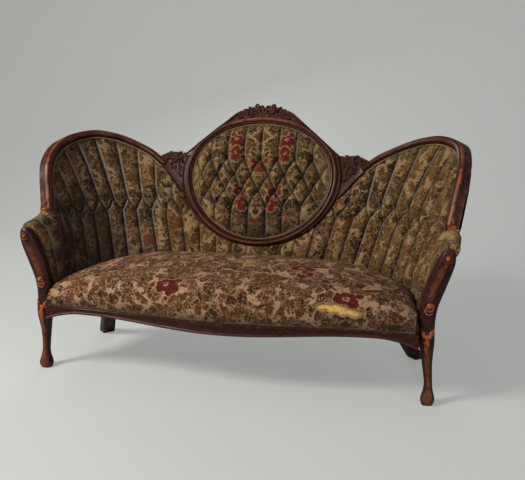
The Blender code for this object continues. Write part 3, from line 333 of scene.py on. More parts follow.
def wing_frame(share):
    """On a wing rail's inner line: the point, the way across the rail, outwards and along."""
    near = 0.004
    run, z = spline(WING_LINE, share).T
    before, after = spline(WING_LINE, share - near).T, spline(WING_LINE, share + near).T
    along = unit(tub(*after) - tub(*before))
    sideways = tub(run + 0.002, z) - tub(run - 0.002, z)
    upwards = tub(run, z + 0.002) - tub(run, z - 0.002)
    outward = unit(np.cross(upwards, sideways))
    return tub(run, z), unit(np.cross(along, outward)), outward, along


print("distance round half the tub:", round(RUN, 4))

# %% [markdown]
# ## Tools of the bench
#
# Most pieces here are grids of points: a pad is a surface over two distances, and a moulding is a
# section swept along a line. A few helpers turn such grids into meshes that carry their own cloth
# coordinates, in metres, so that a weave keeps its scale wherever the cloth goes.

# %% Meshes from grids
ROOT = "root"


def grid_faces(rows, columns, round_columns=False, start=0):
    i = np.arange(rows - 1)[:, None]
    j = np.arange(columns if round_columns else columns - 1)[None, :]
    k = (j + 1) % columns
    quads = np.stack(np.broadcast_arrays(i * columns + j, i * columns + k, (i + 1) * columns + k,
                                         (i + 1) * columns + j), -1)
    return quads.reshape(-1, 4) + start


def tube_faces(rows, columns, start=0):
    """The faces of a tube of closed rings, with a cap at each end."""
    last = start + (rows - 1) * columns
    return [*grid_faces(rows, columns, True, start), range(start + columns - 1, start - 1, -1),
            range(last, last + columns)]


def make_piece(name, points, faces, finish, cloth=None, shades=None):
    """An object in world place, with cloth coordinates and painted values where they are given."""
    mesh = bpy.data.meshes.new(name)
    mesh.from_pydata([tuple(p) for p in np.asarray(points).reshape(-1, 3)], [],
                     [tuple(int(v) for v in face) for face in faces])
    mesh.update()
    if cloth is not None:
        corner = np.empty(len(mesh.loops), dtype=np.int32)
        mesh.loops.foreach_get("vertex_index", corner)
        layer = mesh.uv_layers.new(name="cloth")
        layer.data.foreach_set("uv", np.asarray(cloth, float).reshape(-1, 2)[corner].ravel())
    for key, values in (shades or {}).items():
        shade = mesh.attributes.new(key, "FLOAT", "POINT")
        shade.data.foreach_set("value", np.asarray(values, float).ravel())
    mesh.shade_smooth()
    if finish is not None:
        mesh.materials.append(finish)
    return stand(name, mesh)


def reworked(item, change):
    """Makes a change to an item's mesh while it is open for editing."""
    work = bmesh.new()
    work.from_mesh(item.data)
    change(work)
    work.to_mesh(item.data)
    work.free()
    item.data.shade_smooth()
    return item


def face_outwards(item, merge=True):
    def change(work):
        if merge:
            bmesh.ops.remove_doubles(work, verts=work.verts, dist=1e-6)
        bmesh.ops.recalc_face_normals(work, faces=work.faces)

    return reworked(item, change)


def apply_modifiers(item):
    graph = bpy.context.evaluated_depsgraph_get()
    mesh = bpy.data.meshes.new_from_object(item.evaluated_get(graph))
    item.modifiers.clear()
    item.data = mesh
    return item


def thicken(item, thickness, offset):
    """Gives a sheet its thickness: half to each side for 0, and all of it inwards for -1."""
    solid = item.modifiers.new("thickness", "SOLIDIFY")
    solid.thickness, solid.offset = thickness, offset
    return apply_modifiers(item)


def finish_piece(item, slot, *nodes):
    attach(item, ROOT)
    if nodes:
        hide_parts(*nodes)
    print(item.name, len(item.data.vertices), "points")
    return item


def wave(points, scale, seed=0.0):
    """Smooth noise between -1 and 1 at each point, the same each run."""
    flat = np.asarray(points, float).reshape(-1, 3) * scale + seed
    return np.array([noise.noise(Vector(p)) for p in flat]).reshape(np.shape(points)[:-1])


def ripples(x, y, layer=0):
    """Smooth noise over two distances that are already scaled."""
    return wave(np.stack([x, y, x * 0 + layer], -1), 1.0)


def ease(distance, reach):
    return np.sin(ramp(distance, reach) * pi / 2)


print("bench ready")

# %% [markdown]
# ## Finishes
#
# Nothing here is a picture: the weave, the grain, the stains and the wear are all made of noise,
# cells and distances.

# %% [markdown]
# ### Walnut
#
# The show wood is walnut under a dark red polish. Hands and dusters have rubbed the polish off the
# high points, where the wood shows orange, and dirt has stayed in the hollows. The rubbed places
# come from a painted value where a piece has one, and otherwise from the edges of its shape.


# %% Wood finishes
def polished_wood(name, dark, middle, worn, wear, roughness):
    f = Finish(name)
    at = f.place()
    stretched = f.node("ShaderNodeMapping", {"Vector": at, "Scale": (5.0, 22.0, 9.0)})
    grain = f.noise(stretched, 9.0, 6.0, 0.62)
    broad = f.noise(at, 6.0, 3.0)
    colour = f.mix(f.step(grain, 0.35, 0.68), dark, middle)
    colour = f.mix(f.times(f.step(broad, 0.52, 0.72), 0.55), colour, tuple(0.55 * c for c in dark))
    edges = f.node("ShaderNodeNewGeometry", output=7)
    rubbed = f.step(f.plus(edges, f.times(f.minus(f.noise(at, 34.0, 4.0), 0.5), 0.3)), 0.545, 0.66)
    rubbed = f.times(rubbed, wear, True)
    painted = f.times(f.painted("worn"), f.step(f.noise(at, 55.0, 5.0), 0.3, 0.52), True)
    colour = f.mix(f.maths("MAXIMUM", rubbed, painted), colour, worn)
    hollows = f.step(edges, 0.47, 0.36)
    colour = f.mix(f.times(hollows, 0.75), colour, (0.01, 0.006, 0.006))
    fine = f.noise(at, 240.0, 4.0)
    rough = f.plus(f.times(fine, 0.22), roughness - 0.08)
    height = f.plus(f.times(grain, 0.6), f.times(fine, 0.4))
    return f.done(colour, rough, f.bump(height, 0.0007, 0.55),
                  {"Specular IOR Level": 0.22, "Coat Weight": 0.07, "Coat Roughness": 0.22})


WALNUT = polished_wood("walnut_polish", (0.018, 0.0044, 0.0032), (0.06, 0.0138, 0.008), (0.4, 0.105, 0.03),
                       0.45, 0.38)
CARVED = polished_wood("walnut_carved", (0.03, 0.01, 0.007), (0.082, 0.026, 0.017), (0.3, 0.095, 0.045),
                       0.4, 0.42)
BARE_WOOD = polished_wood("bare_frame_wood", (0.2, 0.13, 0.075), (0.33, 0.22, 0.13), (0.42, 0.3, 0.19),
                          0.3, 0.72)
print("wood finishes:", WALNUT.name, CARVED.name, BARE_WOOD.name)

# %% [markdown]
# ### Tapestry
#
# The cover is a woven tapestry in a traditional design: brown and olive leaves with cream edges
# and stems, small ringed blossoms, and now and then a cluster of dark red ones. Leaves are the
# cells of a warped mesh of cells, stems are the level lines of a noise, and blossoms are distances
# from a centre. A fine grid of threads lies over all of it. Painted values give painted shade in
# the folds and a painted highlight beside each one, darken the cloth with dirt and painted shade,
# and say where it is threadbare.


# %% The tapestry finish
def blossom_cluster(f, place, u, v, size, turn=0.0):
    """How deep a point lies in a cluster of scalloped blossoms, in metres, at cloth place (u, v)."""
    lobes = ((0.0, 0.0, 0.024), (-0.026, -0.006, 0.02), (0.024, -0.01, 0.021), (-0.01, 0.018, 0.017),
             (0.012, 0.015, 0.016), (-0.034, 0.012, 0.011), (0.006, -0.026, 0.013), (0.036, 0.026, 0.014),
             (-0.004, -0.046, 0.008))
    best = None
    for x, y, radius in lobes:
        x, y = (x * cos(turn) - y * sin(turn), x * sin(turn) + y * cos(turn))
        away = f.vector("DISTANCE", place, (u + x * size, v + y * size, 0.0), output=1)
        depth = f.minus(radius * size, away)
        best = depth if best is None else f.maths("MAXIMUM", best, depth)
    return best


def tapestry(name, cream, brown, olive, dark, clusters=(), mirrored=False, gold=(0.3, 0.19, 0.07),
             red=(0.15, 0.018, 0.016), cream_share=0.5, kites=()):
    f = Finish(name)
    cloth = f.cloth()
    flat = f.vector("ABSOLUTE", cloth) if mirrored else cloth
    sway = f.vector("SUBTRACT", f.noise(flat, 13.0, 2.0, output=1), (0.5, 0.5, 0.5))
    ripple = f.vector("SUBTRACT", f.noise(flat, 95.0, 3.0, 0.65, output=1), (0.5, 0.5, 0.5))
    at = f.vector("ADD", flat, f.scaled(sway, 0.055))
    at = f.vector("ADD", at, f.scaled(ripple, 0.028))
    near = f.vector("ADD", flat, f.scaled(ripple, 0.01))

    # Leaves: each cell takes one of three browns, shaded towards its heart
    leaf_tone = f.node("ShaderNodeSeparateColor", {0: f.cells(at, 23.0, output=1)})
    leaf_edge = f.cells(at, 23.0, "DISTANCE_TO_EDGE")
    colour = f.mix(f.step(leaf_tone, 0.3, 0.36), dark, brown)
    colour = f.mix(f.step(leaf_tone, 0.64, 0.7), colour, olive)
    shade = f.step(f.noise(near, 62.0, 3.0), 0.36, 0.6)
    colour = f.mix(f.times(shade, 0.5), colour, tuple(0.55 * c for c in dark))
    light = f.step(f.noise(near, 90.0, 2.0), 0.52, 0.66)
    colour = f.mix(f.times(light, 0.3), colour, gold)
    # Cream: jagged margins that swell into patches, and thin stems
    broad = f.noise(flat, 15.0, 2.0)
    reach = f.times(f.minus(broad, 0.51), 1.0)
    margin = f.step(f.minus(leaf_edge, f.maths("MAXIMUM", reach, -0.017)), 0.042, 0.016)
    stems = None
    for scale, width in ((17.0, 0.007), (29.0, 0.01)):
        level = f.maths("ABSOLUTE", f.minus(f.noise(at, scale, 1.5), 0.5))
        line = f.step(level, width * 1.5, width * 0.8)
        stems = line if stems is None else f.maths("MAXIMUM", stems, line)
    pale = f.maths("MAXIMUM", margin, f.times(stems, 0.8))
    broken = f.step(f.noise(near, 78.0, 3.0), 0.34, 0.44)
    pale = f.times(f.times(pale, broken), cream_share * 2, True)
    cream_tone = f.mix(f.step(f.noise(flat, 26.0, 2.0), 0.46, 0.66), cream, gold)
    cream_tone = f.mix(0.55, cream_tone, cream)
    colour = f.mix(pale, colour, cream_tone)

    # Ringed blossoms scattered over the leaves
    ring = f.maths("DIVIDE", f.cells(near, 8.3, randomness=0.85), 8.3)
    colour = f.mix(f.step(ring, 0.0155, 0.0125), colour, brown)
    on_ring = f.step(f.maths("ABSOLUTE", f.minus(ring, 0.0098)), 0.0042, 0.0022)
    colour = f.mix(f.times(on_ring, 0.9), colour, cream)

    # Kites: tall brown leaves with a cream edge, on the middle line
    for u, v, half_width, half_height in kites:
        jagged = f.vector("ADD", flat, f.scaled(ripple, 0.03))
        right = f.maths("ABSOLUTE", f.minus(f.node("ShaderNodeSeparateXYZ", {0: jagged}), u))
        up = f.minus(f.node("ShaderNodeSeparateXYZ", {0: jagged}, 1), v)
        far = f.plus(f.maths("DIVIDE", right, half_width),
                     f.maths("DIVIDE", f.maths("ABSOLUTE", up), half_height))
        colour = f.mix(f.step(far, 1.3, 1.12), colour, cream)
        colour = f.mix(f.step(far, 0.98, 0.8), colour, brown)

    # Red clusters at chosen places, each with a small pale squiggle in its heart
    for u, v, size, turn, strength in clusters:
        v = abs(v) if mirrored else v
        scallop = f.times(f.minus(f.noise(flat, 120.0, 1.0), 0.5), 0.014)
        deep = f.plus(blossom_cluster(f, near, u, v, size, turn), scallop)
        red_tone = f.mix(f.step(f.noise(flat, 70.0, 2.0), 0.4, 0.6), red, tuple(0.55 * c for c in red))
        colour = f.mix(f.times(f.step(deep, -0.0055, -0.0035), 0.7 * strength), colour, cream)
        colour = f.mix(f.times(f.step(deep, -0.0012, 0.0014), strength), colour, red_tone)
        heart = f.vector("DISTANCE", at, (u - 0.004 * size, v + 0.004 * size, 0.0), output=1)
        curl = f.step(f.maths("ABSOLUTE", f.minus(heart, 0.008 * size)), 0.0036, 0.0016)
        colour = f.mix(f.times(curl, 0.85 * strength), colour, cream)

    # Wear, painted shade in the folds, painted highlights beside them, and darkening by dirt and painted
    # shade
    threads = f.weave(cloth, 0.0021, 0.0016)
    fuzz = f.noise(cloth, 520.0, 2.0)
    worn = f.times(f.painted("worn"), f.step(f.noise(flat, 48.0, 4.0), 0.26, 0.5), True)
    bare = f.mix(f.step(f.noise(flat, 34.0, 3.0), 0.42, 0.6), (0.52, 0.345, 0.105), (0.4, 0.27, 0.13))
    colour = f.mix(worn, colour, bare)
    # Painted shade: the fold of each pleat is darkened nearly to black
    fold = f.painted("fold")
    colour = f.mix(f.times(fold, 0.72), colour, (0.016, 0.016, 0.013))
    # Painted highlight: a pale grey-green line beside each pleat, on the side that faces the light
    highlight_share = f.times(f.painted("piping"), f.step(f.noise(cloth, 22.0, 3.0), 0.25, 0.48), True)
    colour = f.mix(highlight_share, colour, (0.33, 0.325, 0.265))
    # Dirt and painted shade: darker where the painted value says, in corners, creases and low places
    grime = f.times(f.painted("grime"), f.plus(f.noise(flat, 9.0, 3.0), 0.4), True)
    colour = f.mix(f.times(grime, 0.86), colour, (0.022, 0.018, 0.013))
    colour = f.mix(f.times(f.minus(1.0, threads), 0.22), colour, (0.02, 0.014, 0.01))
    height = f.plus(f.times(threads, 0.6), f.times(fuzz, 0.5))
    height = f.plus(height, f.times(pale, 0.5))
    return f.done(colour, f.maths("MULTIPLY_ADD", fuzz, 0.16, plus=0.78), f.bump(height, 0.0006, 0.8),
                  {"Specular IOR Level": 0.12, "Sheen Weight": 0.02, "Sheen Roughness": 0.45})


# %% Plain cloths, braid, foam, jute and steel
def plain_cloth(name, light, deep, pitch, stain=0.5, bump=0.0005):
    f = Finish(name)
    cloth = f.cloth()
    threads = f.weave(cloth, pitch, pitch)
    blotch = f.step(f.noise(cloth, 5.0, 5.0, 0.6), 0.4, 0.68)
    slub = f.noise(f.node("ShaderNodeMapping", {"Vector": cloth, "Scale": (30.0, 320.0, 1.0)}), 2.0, 3.0)
    colour = f.mix(slub, light, deep)
    colour = f.mix(f.times(blotch, stain), colour, tuple(0.5 * c for c in deep))
    colour = f.mix(f.times(f.minus(1.0, threads), 0.25), colour, tuple(0.35 * c for c in deep))
    height = f.plus(threads, f.times(slub, 0.6))
    return f.done(colour, 0.92, f.bump(height, bump, 0.8))


def foam_finish():
    f = Finish("old_foam")
    at = f.place()
    pores = f.cells(at, 520.0)
    lumps = f.noise(at, 60.0, 5.0, 0.65)
    colour = f.mix(f.step(lumps, 0.38, 0.66), (0.98, 0.62, 0.19), (0.84, 0.47, 0.12))
    colour = f.mix(f.times(f.step(pores, 0.36, 0.12), 0.35), colour, (0.46, 0.24, 0.07))
    height = f.plus(f.times(pores, 0.5), lumps)
    return f.done(colour, 0.95, f.bump(height, 0.0022, 0.9))


def thread_finish(name, light, deep):
    f = Finish(name)
    at = f.place()
    ply = f.noise(at, 420.0, 2.0)
    soil = f.noise(at, 16.0, 4.0)
    colour = f.mix(f.step(ply, 0.35, 0.65), light, deep)
    colour = f.mix(f.times(f.step(soil, 0.45, 0.7), 0.6), colour, tuple(0.35 * c for c in deep))
    return f.done(colour, 0.85, f.bump(ply, 0.0006, 0.7))


def metal_finish(name, bright, dull, roughness):
    f = Finish(name)
    at = f.place()
    tarnish = f.step(f.noise(at, 90.0, 5.0, 0.7), 0.4, 0.62)
    colour = f.mix(tarnish, bright, dull)
    return f.done(colour, f.maths("MULTIPLY_ADD", tarnish, 0.3, plus=roughness - 0.1),
                  f.bump(f.noise(at, 400.0, 3.0), 0.0003, 0.5), {"Metallic": 1.0})


OUTSIDE_CLOTH = plain_cloth("outside_cotton", (0.4, 0.39, 0.33), (0.29, 0.28, 0.23), 0.0014, stain=0.45)
BLACK_CLOTH = plain_cloth("black_cambric", (0.035, 0.034, 0.034), (0.02, 0.02, 0.02), 0.001, stain=0.6)
JUTE_CLOTH = plain_cloth("jute_weave", (0.34, 0.235, 0.125), (0.22, 0.145, 0.075), 0.003, bump=0.001)
BRAID = thread_finish("gimp_thread", (0.165, 0.125, 0.05), (0.082, 0.06, 0.024))
WELT = thread_finish("welt_cord", (0.38, 0.28, 0.165), (0.21, 0.145, 0.08))
FRAYED = thread_finish("frayed_thread", (0.66, 0.48, 0.27), (0.45, 0.29, 0.14))
OLD_FOAM = foam_finish()
SPRING_WIRE = metal_finish("spring_wire", (0.42, 0.4, 0.37), (0.16, 0.11, 0.08), 0.45)
TACK_BRASS = metal_finish("tack_heads", (0.2, 0.15, 0.08), (0.07, 0.05, 0.035), 0.5)
print("cloth and metal finishes ready")

# %% [markdown]
# ## The lining of the back
#
# On the real sofa one piece of tapestry lines the back from wing to wing. It is pleated into
# upright flutes, filled with wadding, and held by two rows of buttons in the wings, where the
# pleats cross over by half a flute. It is made here as a fine grid over the tub: each point knows
# how far it is from the nearest pleat, and that distance gives the swell of the flute, the painted
# shade in the fold and the painted highlight beside it.


# %% Edges of the lining under the medallion and the wing rails
def ring_width(angle):
    return 0.032 + 0.018 * np.cos(angle) ** 2


def back_share(x, z):
    """Distance round the tub of a point of the back or its corner."""
    middle_x = half_at(z) - TUB_CORNER
    turn = np.arcsin(ramp(x - middle_x, TUB_CORNER))
    return np.where(x <= middle_x, STRAIGHT * x / middle_x, STRAIGHT + turn * TUB_CORNER)


def lining_edge():
    gap = 0.0012
    angles = -pi / 2 + np.radians(np.arange(0, 84, 1.0))
    under_ring = oval(angles, ring_width(angles) + gap)
    keep = (under_ring[:, 0] < 0.379) & (under_ring[:, 1] < -0.066)
    line = list(under_ring[keep]) + [(0.385, -0.0605), (0.41, -0.027), (0.434, 0.003)]
    edge = []
    for x, up in line:
        point = on_back(x, up)
        edge.append((float(back_share(x, point[2])), point[2]))
    for share in np.linspace(0.02, 1, 110):
        run, z = spline(WING_LINE, share)
        if run > ARM_START - 0.001 or z < 0.75:
            break
        point, across, _, _ = wing_frame(share)
        edge.append((run, (point - across * gap)[2]))
    return np.array(sorted(edge))


LINING_EDGE = lining_edge()
print("lining runs", round(LINING_EDGE[-1, 0], 3), "m each way and up to", round(LINING_EDGE[:, 1].max(), 3))


# %% Flutes, pleats and buttons
def flute_place(run, z):
    """Which flute a point lies in; the wings' upper flutes spread like a fan."""
    spread = 1 + 1.25 * np.maximum(0, z - UPPER_BUTTONS) * np.minimum(1, run / 0.5)
    return (0.5 + (run - 0.5) / spread) / FLUTE_PITCH


def pleat_distance(place, phase):
    """Signed distance, in flutes, to the nearest pleat; pleats split in two between button rows."""
    across = place - np.floor(place) - 0.5
    return (np.abs(across) - phase) * np.where(across < 0, -1, 1)


def swell(distance):
    near = np.clip(np.abs(distance) * 2, 0, 1)
    return np.sqrt(np.maximum(0, 1 - (1 - near) ** 2))


def lining_grid():
    columns, rows, last = 700, 104, LINING_EDGE[-1, 0]
    runs = np.linspace(-last, last, columns)
    top = np.interp(np.abs(runs), LINING_EDGE[:, 0], LINING_EDGE[:, 1])
    share = np.linspace(0, 1, rows)
    share = share + 0.035 * np.sin(2 * pi * share)
    z = PAD_BOTTOM + (top[:, None] - PAD_BOTTOM) * share[None, :]
    run = np.repeat(runs[:, None], rows, 1)
    return run, z, np.repeat(top[:, None], rows, 1)


def lining_shape(run, z, top):
    way = np.abs(run)
    crossing = ramp(z - LOWER_BUTTONS, UPPER_BUTTONS - LOWER_BUTTONS) * 0.5
    crossing = np.where(top > 0.67, crossing, 0.0)
    place = flute_place(way, z) + 0.05 * ripples(run * 9, z * 5)
    apart = pleat_distance(place, crossing)
    puff = swell(apart)
    crown = 0.016 * ease(top - z, 0.16)
    rim = ease(top - z, 0.045)
    tuck = 0.15 + 0.85 * ease(z - PAD_BOTTOM, 0.12)
    depth = crown + 0.021 * puff - 0.0065
    for level, offset in ((LOWER_BUTTONS, 0.5), (UPPER_BUTTONS, 0.0)):
        near_row = np.where(top > 0.7, 1.0, 0.0)
        beside = (place - offset - np.round(place - offset)) * FLUTE_PITCH
        pull = np.exp(-(beside ** 2 + (z - level) ** 2) / 0.016 ** 2) * near_row
        depth = depth - 0.013 * pull
        drag = bell(z - level, 0.01) * near_row
        depth = depth - 0.0035 * drag * puff
    creases, lumps = ripples(run * 60, z * 16), ripples(run * 16, z * 12, 4)
    depth = depth + 0.0011 * creases * puff + 0.0022 * lumps * puff
    side_rim = ease(LINING_EDGE[-1, 0] - way, 0.02)
    depth = 0.0015 + np.maximum(depth, 0.0005) * rim * tuck * (0.3 + 0.7 * side_rim)
    return tub(run, z, -depth), apart * FLUTE_PITCH, puff, place


def pleat_marks(apart):
    """Painted values: painted shade in the fold, and a painted highlight, a pale line on the side of the
    pleat that faces the light.
    """
    return bell(np.abs(apart), 0.0048), bell(apart - 0.0072, 0.0026)


def closed_pad(name, front, back, finish, cloth, shades):
    """A pad: a fine grid for its face, a coarse one behind it, and a strip that joins their rims."""
    rows, columns = front.shape[:2]
    pick_i = np.unique(np.round(np.linspace(0, rows - 1, max(3, rows // 10))).astype(int))
    pick_j = np.unique(np.round(np.linspace(0, columns - 1, max(3, columns // 10))).astype(int))
    coarse = back[np.ix_(pick_i, pick_j)]
    base, wide = rows * columns, len(pick_j)
    faces = [tuple(face) for face in grid_faces(rows, columns)]
    faces += [tuple(face[::-1]) for face in grid_faces(len(pick_i), wide, start=base)]
    for j, column in ((0, 0), (wide - 1, columns - 1)):
        for k, (low, high) in enumerate(zip(pick_i, pick_i[1:])):
            faces.append(tuple(i * columns + column for i in range(low, high + 1))
                         + (base + (k + 1) * wide + j, base + k * wide + j))
    for k, row in ((0, 0), (len(pick_i) - 1, rows - 1)):
        for j, (low, high) in enumerate(zip(pick_j, pick_j[1:])):
            faces.append(tuple(row * columns + i for i in range(low, high + 1))
                         + (base + k * wide + j + 1, base + k * wide + j))
    both = np.concatenate([cloth.reshape(-1, 2), cloth[np.ix_(pick_i, pick_j)].reshape(-1, 2)])
    painted = {key: np.concatenate([np.ravel(value), np.asarray(value)[np.ix_(pick_i, pick_j)].ravel()])
               for key, value in shades.items()}
    points = np.concatenate([front.reshape(-1, 3), coarse.reshape(-1, 3)])
    return face_outwards(make_piece(name, points, faces, finish, both, painted), merge=False)


# %% [markdown]
# The tapestry of the back keeps its design upright from flute to flute, so its cloth coordinates
# are simply the distance round the tub and the height. The light comes from the left, so a painted
# highlight shows right of each pleat, and painted shade makes the far left corner nearly black.

# %% The back's tapestry and lining
BACK_TAPESTRY = tapestry(
    "back_tapestry", (0.42, 0.265, 0.13), (0.15, 0.058, 0.014), (0.105, 0.052, 0.013), (0.04, 0.017, 0.006),
    clusters=((-0.49, 0.475, 0.85, 0.6, 0.75), (0.235, 0.47, 0.75, 0.2, 0.6), (0.62, 0.56, 0.8, 1.2, 0.45),
              (-0.845, 0.8, 0.8, 0.4, 0.5), (0.6, 0.47, 0.6, 2.0, 0.4)),
    gold=(0.29, 0.165, 0.048), cream_share=0.46)


# Painted shade on the back: nearly black in the far left corner, darker low down by the seat, over the left
# wing, which faces away from the light, and in the furrows
def back_shade(run, z, puff):
    corner = bell(run + 0.83, 0.14) * ramp(0.72 - z, 0.2)
    low = ramp(0.47 - z, 0.12)
    wing = 0.34 * ramp(-run - 0.3, 0.3)
    return np.clip(1.6 * corner + 0.6 * low + wing + 0.3 * (1 - puff) + 0.08, 0, 1)


LINING_GRID = lining_grid()
LINING_SHAPE = lining_shape(*LINING_GRID)


def make_lining():
    run, z, top = LINING_GRID
    front, apart, puff, _ = LINING_SHAPE
    # Painted shade in the folds, and a painted highlight beside each pleat on the side that faces the light,
    # fading towards the middle and the bottom
    fold, piping = pleat_marks(apart * np.where(run < 0, -1, 1))
    middle = ramp(np.abs(run) - 0.36, 0.08)
    piping = piping * (0.3 + 0.7 * middle) * ramp(top - z, 0.03)
    piping = piping * (0.45 + 0.55 * ramp(z - 0.5, 0.15))
    back = tub(run, np.minimum(z, top - 0.006), 0.0095)
    item = closed_pad("back_lining", front, back, BACK_TAPESTRY, np.stack([run, z], -1),
                      {"fold": fold * 0.95, "piping": piping, "grime": back_shade(run, z, puff),
                       # Painted highlight: the crowns of the right wing's flutes, which face the light, are
                       # paled towards the worn colour
                       "worn": 0.11 * ramp(run - 0.5, 0.25) * puff})
    finish_piece(item, "tapestry", "back_pad")


make_lining()


# %% [markdown]
# ### The medallion's pad
#
# The oval pad is tufted: rows of buttons, half a pitch apart, draw the cloth into tall diamonds
# between them, and straight pleats run out to the rim above and below.

# %% The medallion's pad
TUFT_PITCH = 0.08
TUFT_ROWS = ((-0.115, 0.5), (-0.05, 0.0), (0.025, 0.5), (0.1, 0.0))

MEDALLION_TAPESTRY = tapestry(
    "medallion_tapestry", (0.4, 0.255, 0.12), (0.14, 0.054, 0.013), (0.1, 0.05, 0.012),
    (0.036, 0.016, 0.006),
    clusters=((0.118, 1.18, 0.85, 0.4, 1.0), (0.112, 1.118, 0.8, 1.9, 1.0), (0.062, 1.092, 0.62, 0.0, 0.95),
              (0.0, 1.062, 0.85, 0.0, 0.95), (0.07, 0.888, 0.78, 1.5, 1.0), (0.082, 0.945, 0.7, 0.2, 1.0),
              (0.045, 1.01, 0.4, 0.8, 0.8)),
    mirrored=True, gold=(0.3, 0.175, 0.05), red=(0.2, 0.016, 0.012), cream_share=0.5,
    kites=((0.0, 1.2, 0.05, 0.036), (0.0, 1.148, 0.02, 0.03)))


def tuft_phase(up):
    return np.interp(up, [level for level, _ in TUFT_ROWS], (0.5, 0.0, 0.5, 0.0))


def make_medallion():
    columns, rows = 170, 150
    a, b = np.meshgrid(np.linspace(-1, 1, columns), np.linspace(-1, 1, rows), indexing="ij")
    disc_x, disc_up = a * np.sqrt(1 - b * b / 2), b * np.sqrt(1 - a * a / 2)
    angle, reach = np.arctan2(disc_up, disc_x), np.hypot(disc_x, disc_up)
    edge = oval(angle, -0.0004)
    x, up = edge[..., 0] * reach, edge[..., 1] * reach
    inset = (1 - reach) * OVAL_HALF_HEIGHT
    place = x / TUFT_PITCH - 0.5 + 0.06 * ripples(x * 12, up * 7, 9)
    apart = pleat_distance(place, tuft_phase(up))
    puff = swell(apart)
    depth = 0.022 * ease(inset, 0.15) + 0.024 * puff - 0.006
    for level, phase in TUFT_ROWS:
        beside = (place - (0.5 - phase) - np.round(place - (0.5 - phase))) * TUFT_PITCH
        depth = depth - 0.014 * np.exp(-(beside ** 2 + (up - level) ** 2) / 0.017 ** 2)
    creases, lumps = ripples(x * 60, up * 18, 2), ripples(x * 17, up * 14, 6)
    depth = depth + (0.0012 * creases + 0.0025 * lumps) * puff
    depth = 0.001 + np.maximum(depth, 0.0) * ease(inset, 0.045)
    # Painted shade in the folds of the tufting, and a painted highlight beside each one
    fold, piping = pleat_marks(apart * TUFT_PITCH)
    rim_wear = (np.exp(-((np.abs(x) - 0.29) / 0.03) ** 2 - ((up - 0.055) / 0.055) ** 2)
                + 0.5 * np.exp(-((np.abs(x) - 0.3) / 0.02) ** 2 - ((up + 0.02) / 0.05) ** 2))
    # The darkening value below: darker towards the bottom of the pad, and painted shade in the furrows
    low = ramp(-0.14 - up, 0.1)
    item = closed_pad("medallion_tufting", on_back(x, up, depth), on_back(x, up, -0.0095), MEDALLION_TAPESTRY,
                      np.stack([x, up + 1.0], -1),
                      {"fold": fold * 0.95, "piping": piping * 0.5 * ramp(inset, 0.03),
                       "grime": np.clip(0.15 + 0.62 * low + 0.25 * (1 - puff), 0, 1),
                       "worn": np.clip(0.6 * rim_wear, 0, 1)})
    finish_piece(item, "tapestry", "medallion_pad")


make_medallion()

# %% [markdown]
# ### The arms
#
# Each arm's inside is a narrow continuation of the flutes that rolls over a padded top. Its front
# end closes in a plain triangle of cloth behind the carved post.

# %% The arms' padding
ARM_ROLL_RADIUS, ARM_ROLL_OUT = 0.037, 0.027
ARM_TAPESTRY = tapestry(
    "arm_tapestry", (0.44, 0.275, 0.13), (0.165, 0.066, 0.016), (0.115, 0.055, 0.013), (0.05, 0.02, 0.006),
    gold=(0.27, 0.165, 0.055), cream_share=0.6)


def arm_roll_top(run):
    along = ramp(run - ARM_START, RUN - ARM_START)
    return 0.642 - 0.022 * along


def arm_section(run, flute):
    """Outward distance and height round the arm's pad, from its foot over the roll and down behind."""
    top = float(arm_roll_top(run))
    face = []
    for z in np.linspace(PAD_BOTTOM, top - 0.062, 30):
        tuck = 0.15 + 0.85 * float(ease(z - PAD_BOTTOM, 0.12))
        face.append((-(0.003 + tuck * (0.0096 + 0.0165 * flute - 0.0025)), z))
    roll = []
    if run < ARM_STUMP_END + 0.001:
        over_stump = ((-0.018, -0.05), (-0.0195, -0.03), (-0.012, -0.006), (0.0, 0.003), (0.015, 0.0085),
                      (0.03, 0.0085), (0.041, 0.002), (0.0468, -0.014), (0.047, -0.035), (0.047, -0.058))
        roll = [(out, top + up) for out, up in spline(over_stump, np.linspace(0, 1, 24))]
        roll += [(0.047 - 0.0365 * k, top - 0.058) for k in (0.2, 0.4, 0.6, 0.8, 0.92, 1.0)]
    else:
        radius = ARM_ROLL_RADIUS - 0.0035 * (1 - flute)
        for degrees in np.linspace(165, -50, 24):
            angle = radians(degrees)
            roll.append((ARM_ROLL_OUT + radius * cos(angle),
                         top - ARM_ROLL_RADIUS + radius * sin(angle)))
        last = roll[-1]
        for k in (0.2, 0.4, 0.6, 0.8, 0.92, 1.0):
            roll.append((last[0] + (0.0115 - last[0]) * k, last[1] + (top - 0.058 - last[1]) * k))
    bridge = [(face[-1][0] + (roll[0][0] - face[-1][0]) * k, face[-1][1] + (roll[0][1] - face[-1][1]) * k)
              for k in (0.25, 0.5, 0.75)]
    behind = [(0.0105, z) for z in np.linspace(top - 0.064, PAD_BOTTOM, 12)]
    return face + bridge + roll + behind


